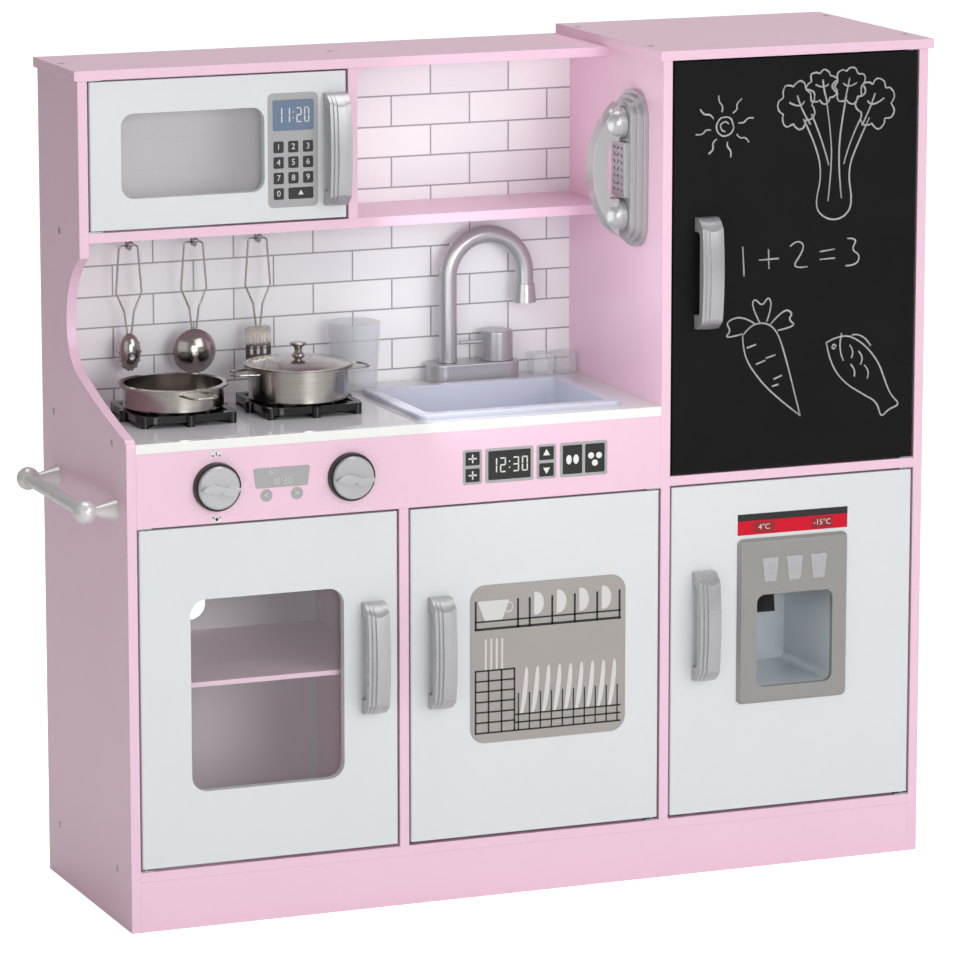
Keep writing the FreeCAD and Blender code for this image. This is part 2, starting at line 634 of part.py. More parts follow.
def magnet(name):
    """A catch on the wall that the door's free edge closes against."""
    left, right, bottom, top, front, side, foot = OPENINGS[name]
    x0 = right - MAGNET_SIZE.x if side == "left" else left
    y0 = front + BOARD + MAGNET_GAP
    z1 = top - MAGNET_DROP
    return block(x0, x0 + MAGNET_SIZE.x, y0, y0 + MAGNET_SIZE.y, z1 - MAGNET_SIZE.z, z1)


def pane(window, radius, front):
    """A clear sheet behind a door's window, lapping it all round."""
    x0, x1, z0, z1 = window
    lap = WINDOW_LAP
    rect = (x0 - lap, x1 + lap, z0 - lap, z1 + lap)
    return front_slab(rect, radius, front + BOARD, front + BOARD + WINDOW_PANE)


def pull_layer(width, reach):
    """One band of a pull handle: an arch on two feet, seen from the side."""
    half = PULL_LENGTH / 2
    shoulder = reach * PULL_SHOULDER
    crown = half - reach * PULL_CROWN_SETBACK
    rise = shoulder * PULL_SHOULDER_FOOT
    edge = reach * PULL_CROWN_START
    bend = half - (half - crown) * PULL_SHOULDER_BEND
    edges = [
        Part.makeLine(V(0, 0, -half), V(0, -rise, -half)),
        Part.Arc(V(0, -rise, -half), V(0, -shoulder, -bend), V(0, -edge, -crown)).toShape(),
        Part.Arc(V(0, -edge, -crown), V(0, -reach, 0), V(0, -edge, crown)).toShape(),
        Part.Arc(V(0, -edge, crown), V(0, -shoulder, bend), V(0, -rise, half)).toShape(),
        Part.makeLine(V(0, -rise, half), V(0, 0, half)),
        Part.makeLine(V(0, 0, half), V(0, 0, -half)),
    ]
    face = Part.Face(Part.Wire(edges))
    face.translate(V(-width / 2, 0, 0))
    return face.extrude(X * width)


def pull_z(name):
    return OPENINGS[name][2] + PULL_RISE[name]


def pull_handle(name):
    """A stepped, arched plastic pull with a finger gap behind it."""
    solid = pull_layer(PULL_WIDTH, PULL_PROUD - 2 * PULL_STEP)
    solid = solid.fuse(pull_layer(PULL_WIDTH - 2 * PULL_BAND_INSET, PULL_PROUD - PULL_STEP))
    solid = solid.fuse(pull_layer(PULL_WIDTH - 4 * PULL_BAND_INSET, PULL_PROUD))
    half = PULL_LENGTH / 2 - PULL_FOOT
    inner = PULL_PROUD - 2 * PULL_STEP - PULL_BAR
    gap = block(-PULL_WIDTH, PULL_WIDTH, -inner, 1, -half, half)
    gap = gap.makeFillet(PULL_GAP_R, [e for e in gap.Edges if is_gap_corner(e, inner)])
    solid = solid.cut(gap).removeSplitter()
    x0, x1, z0, z1 = door_rect(name)
    inset = PULL_FROM_EDGE[name]
    x = x1 - inset if OPENINGS[name][5] == "left" else x0 + inset
    solid.translate(V(x, OPENINGS[name][4], pull_z(name)))
    return solid


def is_gap_corner(edge, inner):
    middle = edge.CenterOfMass
    along_x = abs(edge.Vertexes[0].X - edge.Vertexes[-1].X) > 1
    return along_x and abs(middle.y + inner) < 0.01


def make_doors():
    microwave = door_panel("microwave")
    microwave = microwave.cut(front_slab(MICROWAVE_WINDOW, MICROWAVE_WINDOW_R, 0, DEPTH))
    save("microwave_door", microwave)
    save("microwave_window", pane(MICROWAVE_WINDOW, MICROWAVE_WINDOW_R, UPPER_SETBACK))
    save("keypad_sticker", front_slab(KEYPAD, KEYPAD_R, UPPER_SETBACK - STICKER, UPPER_SETBACK))
    save("oven_door", door_panel("oven").cut(front_slab(OVEN_WINDOW, OVEN_WINDOW_R, -1, DEPTH)))
    save("oven_window", pane(OVEN_WINDOW, OVEN_WINDOW_R, 0))
    save("dishwasher_door", door_panel("dishwasher"))
    save("dishwasher_sticker", front_slab(RACK_STICKER, RACK_STICKER_R, -STICKER, 0))
    save("freezer_door", door_panel("freezer"))
    save("fridge_door", door_panel("fridge").cut(dispenser_bucket(DISPENSER_FIT, True)))
    for name in OPENINGS:
        save(name + "_handle", pull_handle(name))
    save("hinge_pins", *[pivot(name, end) for name in OPENINGS for end in ("foot", "head")])
    save("door_magnets", *[magnet(name) for name in OPENINGS])


# --- ice dispenser ----------------------------------------------------------------------
def bucket_rect(grow):
    x0, x1, z0, z1 = DISPENSER_OPENING
    return x0 - grow, x1 + grow, z0 - grow, z1 + DISPENSER_HEADROOM + grow


def dispenser_bucket(fit, full):
    """The recess's outside, grown by a fit; full starts it in front of the door."""
    front = -1 if full else 0
    grow = DISPENSER_WALL + fit
    return front_slab(bucket_rect(grow), DISPENSER_OPENING_R, front, DISPENSER_DEPTH)


def ice_dispenser():
    frame = front_slab(DISPENSER, DISPENSER_CORNER_R, -DISPENSER_PROUD, 0)
    rim = [e for e in frame.Edges if e.BoundBox.YMax < -DISPENSER_PROUD + 0.01]
    frame = frame.makeChamfer(DISPENSER_EDGE, rim)
    body = frame.fuse(dispenser_bucket(0, False))
    hollow_back = DISPENSER_DEPTH - DISPENSER_WALL
    body = body.cut(front_slab(bucket_rect(0), DISPENSER_OPENING_R, 0, hollow_back))
    body = body.cut(front_slab(DISPENSER_OPENING, DISPENSER_OPENING_R, -10, 1))
    x0, x1 = bucket_rect(5)[:2]
    shaft = rod(V(x0, LEVER_Y, lever_z()), V(x1, LEVER_Y, lever_z()), LEVER_SHAFT_R + LEVER_RUN)
    return body.cut(shaft).removeSplitter()


def lever_z():
    return DISPENSER_OPENING[3] + DISPENSER_HEADROOM - LEVER_BELOW_CEILING


def dispenser_lever():
    """A black paddle on a shaft across the top of the recess."""
    x0, x1 = bucket_rect(DISPENSER_WALL)[:2]
    shaft = rod(V(x0, LEVER_Y, lever_z()), V(x1, LEVER_Y, lever_z()), LEVER_SHAFT_R)
    middle = (x0 + x1) / 2
    half = LEVER_WIDTH / 2
    top = lever_z()
    low = top - LEVER_LENGTH
    front = LEVER_Y - LEVER_THICK / 2
    back = LEVER_Y + LEVER_THICK / 2
    edges = [
        Part.makeLine(V(0, back, top), V(0, front, top)),
        Part.Arc(V(0, front, top), V(0, front + 2, (top + low) / 2), V(0, front - 1, low)).toShape(),
        Part.makeLine(V(0, front - 1, low), V(0, back - 1, low)),
        Part.Arc(V(0, back - 1, low), V(0, back + 2, (top + low) / 2), V(0, back, top)).toShape(),
    ]
    paddle = Part.Face(Part.Wire(edges)).extrude(X * LEVER_WIDTH)
    paddle.translate(V(middle - half, 0, 0))
    return shaft.fuse(paddle).removeSplitter()


# --- control panel fittings -------------------------------------------------------------
def knob_bezel(x):
    inner = BEZEL_R - BEZEL_RIM
    profile = [
        (KNOB_COLLAR_R, 0), (BEZEL_R, 0), (BEZEL_R - BEZEL_TAPER, BEZEL_DEPTH), (inner, BEZEL_DEPTH),
        (inner, BEZEL_FLOOR), (KNOB_COLLAR_R, BEZEL_FLOOR),
    ]
    return turned(profile, V(x, 0, KNOB_Z), -Y)


def knob(x):
    """A disc with a raised wave across it, on a shaft held by a collar behind the panel."""
    radius = BEZEL_R - BEZEL_RIM - KNOB_GAP
    foot = BEZEL_FLOOR + KNOB_GAP
    crown = foot + KNOB_DISC
    edge = crown - KNOB_EDGE
    profile = [(0, foot), (radius, foot), (radius, edge), (radius - KNOB_EDGE, crown), (0, crown)]
    disc = turned(profile, V(x, 0, KNOB_Z), -Y)
    shaft = rod(V(x, -foot, KNOB_Z), V(x, BOARD + KNOB_GAP + KNOB_COLLAR, KNOB_Z), KNOB_SHAFT_R)
    collar = rod(V(x, BOARD + KNOB_GAP, KNOB_Z), V(x, BOARD + KNOB_GAP + KNOB_COLLAR, KNOB_Z), KNOB_COLLAR_R)
    ridge = wave_ridge(radius)
    ridge.translate(V(x, -crown, KNOB_Z))
    return disc.fuse([shaft, collar, ridge]).removeSplitter()


def wave_ridge(radius):
    """An S-shaped grip, its ends inside the knob's rim."""
    end = radius - WAVE_IN
    half = KNOB_RIDGE_WIDTH / 2
    swing = WAVE_SWING
    narrow = WAVE_TIP
    edges = [
        Part.Arc(V(-end, 0, -narrow), V(-end / 2, 0, swing), V(0, 0, half * 0.55)).toShape(),
        Part.Arc(V(0, 0, half * 0.55), V(end / 2, 0, -swing + half), V(end, 0, narrow)).toShape(),
        Part.makeLine(V(end, 0, narrow), V(end, 0, -narrow)),
        Part.Arc(V(end, 0, -narrow), V(end / 2, 0, -swing - half * 0.6), V(0, 0, -half * 0.75)).toShape(),
        Part.Arc(V(0, 0, -half * 0.75), V(-end / 2, 0, swing - half * 1.7), V(-end, 0, -1)).toShape(),
        Part.makeLine(V(-end, 0, -1), V(-end, 0, -narrow)),
    ]
    return Part.Face(Part.Wire(edges)).extrude(-Y * KNOB_RIDGE)


def control_stickers():
    z0, z1 = SMALL_STICKER_Z
    made = [front_slab((x0, x1, z0, z1), SMALL_STICKER_R, -STICKER, 0) for x0, x1 in SMALL_STICKERS]
    x, z = CLOCK_MIDDLE
    top = z + CLOCK_HEIGHT / 2
    low = z - CLOCK_HEIGHT / 2
    corners = [
        V(x - CLOCK_BOTTOM_WIDTH / 2, 0, low), V(x + CLOCK_BOTTOM_WIDTH / 2, 0, low),
        V(x + CLOCK_TOP_WIDTH / 2, 0, top), V(x - CLOCK_TOP_WIDTH / 2, 0, top),
    ]
    made.append(round_edges(outline_solid(corners, STICKER, -Y), SMALL_STICKER_R, Y))
    for side in (-1, 1):
        at = V(x + side * CLOCK_BUTTON_SPACING / 2, 0, CLOCK_BUTTON_Z)
        made.append(Part.makeCylinder(CLOCK_BUTTON_R, STICKER, at, -Y))
    return made


def make_controls():
    save("knob_bezels", *[knob_bezel(x) for x in KNOB_X])
    save("left_knob", knob(KNOB_X[0]))
    save("right_knob", knob(KNOB_X[1]))
    save("control_stickers", *control_stickers())
    save("ice_dispenser", ice_dispenser())
    save("dispenser_lever", dispenser_lever())


# --- sink and tap -----------------------------------------------------------------------
def upright_slab(x0, x1, y0, y1, z0, z1, radius):
    return round_edges(block(x0, x1, y0, y1, z0, z1), radius, Z)


def sink_outer(fit):
    """The bowl's outside below the rim, grown by a fit."""
    x0, x1, y0, y1 = SINK
    inset = SINK_RIM - SINK_WALL - fit
    low = WORKTOP_TOP - SINK_DEPTH
    return upright_slab(x0 + inset, x1 - inset, y0 + inset, y1 - inset, low, WORKTOP_TOP, SINK_CORNER_R)


def sink_basin():
    x0, x1, y0, y1 = SINK
    top = WORKTOP_TOP + SINK_RIM_HEIGHT
    rim = upright_slab(x0, x1, y0, y1, WORKTOP_TOP, top, SINK_CORNER_R)
    rim = rim.makeFillet(SINK_RIM_ROUND, [e for e in rim.Edges if e.BoundBox.ZMin > top - 0.01])
    low = WORKTOP_TOP - SINK_DEPTH + SINK_WALL
    bowl = upright_slab(
        x0 + SINK_RIM, x1 - SINK_RIM, y0 + SINK_RIM, y1 - SINK_RIM, low, top + 1, SINK_CORNER_R - SINK_WALL
    )
    bowl = bowl.makeFillet(SINK_FLOOR_R, [e for e in bowl.Edges if e.BoundBox.ZMax < low + 0.01])
    return rim.fuse(sink_outer(0)).cut(bowl).removeSplitter()


def tap_axes():
    return TAP_BASE_LEFT + SPOUT_INSET, TAP_BASE_LEFT + TAP_BASE_LENGTH - TAP_HANDLE_INSET


def tap_base():
    half = TAP_BASE_WIDTH / 2
    x0 = TAP_BASE_LEFT
    x1 = x0 + TAP_BASE_LENGTH
    top = WORKTOP_TOP + TAP_BASE_HEIGHT
    base = upright_slab(x0, x1, TAP_Y - half, TAP_Y + half, WORKTOP_TOP, top, half - TAP_BASE_FLAT)
    base = base.makeFillet(TAP_EDGE_R, [e for e in base.Edges if e.BoundBox.ZMin > top - 0.01])
    for x in tap_axes():
        at = V(x, TAP_Y, top - SPIGOT_LENGTH - 1)
        base = base.cut(Part.makeCylinder(SPIGOT_R + TAP_RUN, SPIGOT_LENGTH + 2, at))
    return base


def tap_spout():
    """A round tube up, over in a half circle and down to a flared nozzle."""
    x = tap_axes()[0]
    foot = WORKTOP_TOP + TAP_BASE_HEIGHT + TAP_LIFT
    far = x + 2 * SPOUT_ARCH_R
    tip = SPOUT_ARCH_Z - SPOUT_DROP
    path = Part.Wire([
        Part.makeLine(V(x, TAP_Y, foot), V(x, TAP_Y, SPOUT_ARCH_Z)),
        Part.Arc(
            V(x, TAP_Y, SPOUT_ARCH_Z),
            V(x + SPOUT_ARCH_R, TAP_Y, SPOUT_ARCH_Z + SPOUT_ARCH_R),
            V(far, TAP_Y, SPOUT_ARCH_Z),
        ).toShape(),
        Part.makeLine(V(far, TAP_Y, SPOUT_ARCH_Z), V(far, TAP_Y, tip)),
    ])
    ring = Part.Wire(Part.makeCircle(SPOUT_R, V(x, TAP_Y, foot), Z))
    tube = path.makePipeShell([ring], True, False)
    spigot = Part.makeCylinder(SPIGOT_R, SPIGOT_LENGTH + TAP_LIFT, V(x, TAP_Y, foot - SPIGOT_LENGTH))
    end = NOZZLE_LENGTH
    profile = [
        (0, 0), (NOZZLE_TOP_R, 0), (NOZZLE_TIP_R, end),
        (NOZZLE_BORE_R, end), (NOZZLE_BORE_R, end - NOZZLE_BORE), (0, end - NOZZLE_BORE),
    ]
    nozzle = turned(profile, V(far, TAP_Y, tip), -Z)
    return tube.fuse([spigot, nozzle]).removeSplitter()


def tap_handle():
    x = tap_axes()[1]
    foot = WORKTOP_TOP + TAP_BASE_HEIGHT + TAP_LIFT
    cap = Part.makeCylinder(TAP_HANDLE_R, TAP_HANDLE_HEIGHT, V(x, TAP_Y, foot))
    top = foot + TAP_HANDLE_HEIGHT
    cap = cap.makeFillet(TAP_EDGE_R, [e for e in cap.Edges if e.BoundBox.ZMin > top - 0.01])
    spigot = Part.makeCylinder(SPIGOT_R, SPIGOT_LENGTH + TAP_LIFT, V(x, TAP_Y, foot - SPIGOT_LENGTH))
    lever_z_level = foot + TAP_LEVER_Z
    lever = rod(V(x, TAP_Y, lever_z_level), V(x - TAP_LEVER_REACH, TAP_Y, lever_z_level), TAP_LEVER_R)
    tip = Part.makeSphere(TAP_LEVER_R, V(x - TAP_LEVER_REACH, TAP_Y, lever_z_level))
    return cap.fuse([spigot, lever, tip])


# --- hob and pots -----------------------------------------------------------------------
def pan_support(x):
    """A black cap in a square frame with eight bars and lobes, moulded in one."""
    at = V(x, HOB_Y, WORKTOP_TOP)
    half = SUPPORT_SIZE / 2 - SUPPORT_BAR / 2
    bottom = WORKTOP_TOP + SUPPORT_HEIGHT - SUPPORT_TOP
    top = WORKTOP_TOP + SUPPORT_HEIGHT
    outer = upright_slab(x - half, x + half, HOB_Y - half, HOB_Y + half, bottom, top, SUPPORT_CORNER_R)
    inner_half = half - SUPPORT_BAR
    inner = upright_slab(
        x - inner_half, x + inner_half, HOB_Y - inner_half, HOB_Y + inner_half, bottom, top,
        SUPPORT_CORNER_R - SUPPORT_BAR,
    )
    frame = outer.cut(inner)
    cap = Part.makeCylinder(SUPPORT_CAP_R, SUPPORT_CAP_HEIGHT, at)
    pieces = [cap]
    for index in range(SUPPORT_BARS):
        turn = 360 / SUPPORT_BARS * index
        angle = math.radians(turn)
        reach = half if index % 2 == 0 else half * SUPPORT_DIAGONAL
        rib = SUPPORT_RIB / 2
        bar = block(SUPPORT_CAP_R - 3, reach - rib, -rib, rib, WORKTOP_TOP, top)
        bar.rotate(V(0, 0, 0), Z, turn)
        bar.translate(V(x, HOB_Y, 0))
        lobe_at = V(x + reach * math.cos(angle), HOB_Y + reach * math.sin(angle), WORKTOP_TOP)
        lobe = Part.makeCylinder(SUPPORT_BAR * SUPPORT_LOBE, SUPPORT_HEIGHT, lobe_at)
        pieces += [bar, lobe]
    return frame.fuse(pieces).removeSplitter()


def pot_shell(x, height):
    """A deep-drawn steel pot with a flat rolled rim."""
    inner = POT_R - POT_WALL
    profile = [
        (0, 0), (POT_R - 2, 0), (POT_R, 2), (POT_R, height - POT_RIM), (POT_RIM_R, height - POT_RIM),
        (POT_RIM_R, height), (inner, height), (inner, POT_WALL + 1), (inner - 1, POT_WALL), (0, POT_WALL),
    ]
    return turned(profile, V(x, HOB_Y, pot_foot()), Z)


def pot_foot():
    return WORKTOP_TOP + SUPPORT_HEIGHT + REST_GAP


def pot_loop(x, height, azimuth):
    """A bent wire handle with both ends welded to the pot's wall."""
    start = POT_R - POT_WALL / 2
    out = POT_R + POT_LOOP_REACH
    half = POT_LOOP_WIDTH / 2
    level = pot_foot() + height - POT_LOOP_DROP
    points = [
        V(start * 0.94, -half, level), V(out, -half * 0.8, level),
        V(out, half * 0.8, level), V(start * 0.94, half, level),
    ]
    loop = bent_rod(points, POT_WIRE_R, 7.0)
    loop.rotate(V(0, 0, 0), Z, azimuth)
    loop.translate(V(x, HOB_Y, 0))
    return loop


def pot(x, height, azimuth):
    inside = Part.makeCylinder(POT_R - POT_WALL, height + 10, V(x, HOB_Y, pot_foot() + POT_WALL))
    loops = [pot_loop(x, height, azimuth + turn).cut(inside) for turn in (0, 180)]
    return pot_shell(x, height).fuse(loops)


def lid_bottom():
    return pot_foot() + RIGHT_POT_HEIGHT + REST_GAP


def lid_dome(height, sheet):
    """Half outline of a shallow dome, with its round crown as an arc."""
    radius = LID_R - 3
    ball = (radius * radius + height * height) / (2 * height)
    middle = math.asin(radius / ball) / 2
    foot = V(radius, 0, sheet)
    bend = V(ball * math.sin(middle), 0, sheet + height - ball + ball * math.cos(middle))
    return Part.Arc(foot, bend, V(0, 0, sheet + height)).toShape()


def pot_lid():
    plug = POT_R - POT_WALL - LID_PLUG_GAP
    outline = [
        lid_dome(LID_DOME, LID_SHEET),
        Part.makeLine(V(0, 0, LID_SHEET + LID_DOME), V(0, 0, LID_DOME)),
        Part.makeLine(V(0, 0, LID_DOME), V(plug - 2.5, 0, 0.8)),
        Part.makeLine(V(plug - 2.5, 0, 0.8), V(plug - 1.2, 0, -LID_PLUG)),
        Part.makeLine(V(plug - 1.2, 0, -LID_PLUG), V(plug, 0, -LID_PLUG)),
        Part.makeLine(V(plug, 0, -LID_PLUG), V(plug, 0, 0)),
        Part.makeLine(V(plug, 0, 0), V(LID_R, 0, 0)),
        Part.makeLine(V(LID_R, 0, 0), V(LID_R, 0, LID_SHEET)),
        Part.makeLine(V(LID_R, 0, LID_SHEET), V(LID_R - 3, 0, LID_SHEET)),
    ]
    lid = Part.Face(Part.Wire(outline)).revolve(V(0, 0, 0), Z, 360)
    lid.translate(V(HOB_X[1], HOB_Y, lid_bottom()))
    return lid


def lid_knob():
    low = lid_bottom() + LID_SHEET + LID_DOME
    profile = [
        (0, 0), (LID_KNOB_R * 0.78, 0), (LID_KNOB_R * 0.7, 1.6), (LID_KNOB_R * 0.42, 4.5),
        (LID_KNOB_R * 0.5, 7.5), (LID_KNOB_R * 0.95, LID_KNOB_HEIGHT - 2),
        (LID_KNOB_R, LID_KNOB_HEIGHT - 1), (LID_KNOB_R * 0.85, LID_KNOB_HEIGHT), (0, LID_KNOB_HEIGHT),
    ]
    return turned(profile, V(HOB_X[1], HOB_Y, low), Z)


def make_worktop_pieces():
    save("sink_basin", sink_basin())
    save("tap_base", tap_base())
    save("tap_spout", tap_spout())
    save("tap_handle", tap_handle())
    save("pan_supports", *[pan_support(x) for x in HOB_X])
    save("left_pot", pot(HOB_X[0], LEFT_POT_HEIGHT, LEFT_POT_LOOP_AZ))
    save("right_pot", pot(HOB_X[1], RIGHT_POT_HEIGHT, RIGHT_POT_LOOP_AZ))
    save("pot_lid", pot_lid())
    save("lid_knob", lid_knob())
    save("tumbler", tumbler())
    names = ("left_ice_cube", "right_ice_cube")
    for name, x in zip(names, CUBE_X):
        save(name, ice_cube(x))


def tumbler():
    low = CUP_BOTTOM_R - CUP_WALL
    high = CUP_TOP_R - CUP_WALL
    profile = [
        (0, 0), (CUP_BOTTOM_R, 0), (CUP_TOP_R, CUP_HEIGHT),
        (high, CUP_HEIGHT), (low, CUP_WALL), (0, CUP_WALL),
    ]
    return turned(profile, V(*CUP_AT, WORKTOP_TOP + REST_GAP), Z)


def ice_cube(x):
    low = WORKTOP_TOP + REST_GAP
    cube = block(x, x + CUBE, CUBE_Y, CUBE_Y + CUBE, low, low + CUBE)
    return cube.makeFillet(CUBE_EDGE_R, cube.Edges)


# --- hooks and utensils -----------------------------------------------------------------
def hook(x):
    """A pad under the shelf with a bent wire that ends in a ball."""
    pad = Part.makeCylinder(HOOK_PAD_R, HOOK_PAD, V(x, UTENSIL_Y + HOOK_BACK, UPPER_SHELF_BOTTOM - HOOK_PAD))
    low = UTENSIL_TOP - UTENSIL_WIRE_R - HOOK_PLAY - HOOK_R
    front = UTENSIL_Y - HOOK_FRONT
    points = [
        V(x, UTENSIL_Y + HOOK_BACK, UPPER_SHELF_BOTTOM - 0.5), V(x, UTENSIL_Y + HOOK_BACK, low),
        V(x, front, low), V(x, front, low + 5),
    ]
    ball = Part.makeSphere(HOOK_TIP_R, V(x, front, low + 5))
    return pad.fuse([bent_rod(points, HOOK_R, 2.6), ball])


def wire_loop(x):
    """The utensil's double wire: wide at the hook, closing to a neck."""
    top = UTENSIL_TOP
    halves = [
        (LOOP_NECK_HALF, LOOP_NECK_DROP), (LOOP_NARROW_HALF, LOOP_NARROW_DROP),
        (LOOP_WIDE_HALF, LOOP_WIDE_DROP), (LOOP_TOP_HALF, 0),
    ]
    right = [V(x + half, UTENSIL_Y, top - drop) for half, drop in halves]
    left = [V(x - half, UTENSIL_Y, top - drop) for half, drop in reversed(halves)]
    return bent_rod(right + left, UTENSIL_WIRE_R, 3.5)


def neck_z():
    return UTENSIL_TOP - LOOP_NECK_DROP


def ladle(x):
    """A round bowl that hangs with its back to the front."""
    ball = (LADLE_BOWL_R ** 2 + LADLE_BOWL_DEPTH ** 2) / (2 * LADLE_BOWL_DEPTH)
    centre = V(x, UTENSIL_Y + ball - LADLE_BOWL_DEPTH, neck_z() - LADLE_BOWL_R + 4)
    outer = Part.makeSphere(ball, centre)
    inner = Part.makeSphere(ball - SHEET, centre)
    keep = block(x - 60, x + 60, centre.y - ball - 1, UTENSIL_Y, centre.z - 60, centre.z + 60)
    bowl = outer.cut(inner).common(keep)
    return wire_loop(x).fuse(bowl)


def pasta_server(x):
    """An egg-shaped spoon with prongs round its lower edge and a hole."""
    half = SERVER_BOWL_LENGTH / 2
    centre = V(x, UTENSIL_Y, neck_z() - half + 4)
    outer = stretched_ball(centre, SERVER_BOWL_R, SERVER_BOWL_DEPTH, half)
    inner = stretched_ball(centre, SERVER_BOWL_R - SHEET, SERVER_BOWL_DEPTH - SHEET, half - SHEET)
    keep = block(x - 40, x + 40, UTENSIL_Y - 40, UTENSIL_Y, centre.z - 60, centre.z + 60)
    spoon = outer.cut(inner).common(keep)
    hole_z = centre.z - SERVER_HOLE_DROP
    hole = rod(V(x, UTENSIL_Y - SERVER_BOWL_LENGTH, hole_z), V(x, UTENSIL_Y + 1, hole_z), SERVER_HOLE_R)
    spoon = spoon.cut(hole)
    prongs = []
    for degrees in SERVER_PRONG_TURNS:
        angle = math.radians(degrees)
        at = V(
            x + (SERVER_BOWL_R - 0.6) * math.cos(angle), UTENSIL_Y - 1.5,
            centre.z + (half - 0.6) * math.sin(angle),
        )
        prongs.append(Part.makeCylinder(SERVER_PRONG_R, SERVER_PRONG, at, Y))
    return wire_loop(x).fuse([spoon] + prongs)


def stretched_ball(centre, rx, ry, rz):
    ball = Part.makeSphere(1)
    scale = FreeCAD.Matrix()
    scale.scale(rx, ry, rz)
    ball = ball.transformGeometry(scale)
    ball.translate(centre)
    return ball


def spatula(x):
    """A flat slotted blade."""
    top = neck_z() + 3
    half = SPATULA_WIDTH / 2
    y0 = UTENSIL_Y - SHEET / 2
    blade = block(x - half, x + half, y0, y0 + SHEET, top - SPATULA_LENGTH, top)
    blade = round_edges(blade, SPATULA_CORNER_R, Y)
    width, length = SPATULA_SLOT
    across, down = SPATULA_SLOT_STEP
    for row in (0, 1):
        for column in (-1, 0, 1):
            middle = x + column * across
            z1 = top - SPATULA_SLOT_TOP - row * down
            slot = (middle - width / 2, middle + width / 2, z1 - length, z1)
            blade = blade.cut(front_slab(slot, width * 0.45, y0 - 1, y0 + SHEET + 1))
    return wire_loop(x).fuse(blade)


def make_utensils():
    save("utensil_hooks", *[hook(x) for x in UTENSIL_X])
    save("pasta_server", pasta_server(UTENSIL_X[0]))
    save("ladle", ladle(UTENSIL_X[1]))
    save("spatula", spatula(UTENSIL_X[2]))


# --- telephone --------------------------------------------------------------------------
def side_slab(width, height, x0, thickness, radius):
    """An upright plate that faces left, centred on the telephone."""
    plate = block(
        x0 - thickness, x0, PHONE_Y - width / 2, PHONE_Y + width / 2,
        PHONE_Z - height / 2, PHONE_Z + height / 2,
    )
    return round_edges(plate, radius, X)


def pod_levels():
    return [PHONE_Z + side * PHONE_POD_SPACING / 2 for side in (-1, 1)]


def phone_base():
    """Three stepped plates, a cradle ring for each end and a slotted grille."""
    width, height = PHONE_BASE
    plates = []
    for index in range(3):
        shrink = 2 * PHONE_STEP_INSET * index
        x0 = FRIDGE_X - PHONE_STEP * index
        small = width - shrink
        plates.append(side_slab(small, height - shrink, x0, PHONE_STEP, small / 2 - 4))
    face = FRIDGE_X - 3 * PHONE_STEP
    grille_width, grille_height = PHONE_GRILLE
    grille = side_slab(grille_width, grille_height, face, PHONE_GRILLE_PROUD, 1.5)
    length, tall, deep = PHONE_SLOT
    across, up = PHONE_SLOT_STEP
    for column in (-1, 0, 1):
        for row in range(PHONE_SLOT_ROWS):
            y = PHONE_Y + column * across
            z = PHONE_Z + (row - PHONE_SLOT_ROWS // 2) * up
            slot = block(
                face - PHONE_GRILLE_PROUD, face - PHONE_GRILLE_PROUD + deep,
                y - length / 2, y + length / 2, z - tall / 2, z + tall / 2,
            )
            slot.rotate(V(face, y, z), X, PHONE_SLOT_TILT if column else -PHONE_SLOT_TILT)
            grille = grille.cut(slot)
    return plates[0].fuse(plates[1:] + [grille]).removeSplitter()


def phone_handset():
    """An arched grip with a domed pod on a collar at each end."""
    back = FRIDGE_X - 3 * PHONE_STEP - PHONE_GAP
    outer = FRIDGE_X - PHONE_REACH
    half = PHONE_HEIGHT / 2
    inner = outer + PHONE_GRIP
    root = back - PHONE_COLLAR
    waist = PHONE_POD_SPACING / 2 - PHONE_POD_R - 1
    edges = [
        Part.Arc(V(root, 0, -half), V(outer, 0, 0), V(root, 0, half)).toShape(),
        Part.makeLine(V(root, 0, half), V(root, 0, waist)),
        Part.makeLine(V(root, 0, waist), V(inner + 3, 0, waist)),
        Part.Arc(V(inner + 3, 0, waist), V(inner, 0, 0), V(inner + 3, 0, -waist)).toShape(),
        Part.makeLine(V(inner + 3, 0, -waist), V(root, 0, -waist)),
        Part.makeLine(V(root, 0, -waist), V(root, 0, -half)),
    ]
    grip = Part.Face(Part.Wire(edges)).extrude(Y * PHONE_GRIP_WIDTH)
    grip.translate(V(0, PHONE_Y - PHONE_GRIP_WIDTH / 2, PHONE_Z))
    pieces = []
    for z in pod_levels():
        centre = V(root, PHONE_Y, z)
        behind = block(root, root + 40, 0, DEPTH, z - 40, z + 40)
        pieces.append(Part.makeSphere(PHONE_POD_R, centre).cut(behind))
        pieces.append(Part.makeCylinder(PHONE_POD_R + 0.6, PHONE_COLLAR, centre, X))
    return grip.fuse(pieces).removeSplitter()


# --- towel rail -------------------------------------------------------------------------
def rail_bar(fit=0.0):
    start = V(-RAIL_REACH, RAIL_FRONT_Y, RAIL_Z)
    return Part.makeCylinder(RAIL_BAR_R + fit, RAIL_SPACING, start, Y)


def rail_end(y):
    """A turned foot that narrows to a neck and carries a ball."""
    foot = Part.makeCone(RAIL_FOOT_R, RAIL_NECK_R, RAIL_FOOT_LENGTH, V(0, y, RAIL_Z), -X)
    ball = Part.makeSphere(RAIL_BALL_R, V(-RAIL_REACH, y, RAIL_Z))
    return foot.fuse(ball).cut(rail_bar(RAIL_FIT))


def make_wall_pieces():
    save("phone_base", phone_base())
    save("phone_handset", phone_handset())
    save("towel_rail_ends", *[rail_end(RAIL_FRONT_Y + step) for step in (0, RAIL_SPACING)])
    save("towel_rail_bar", rail_bar())


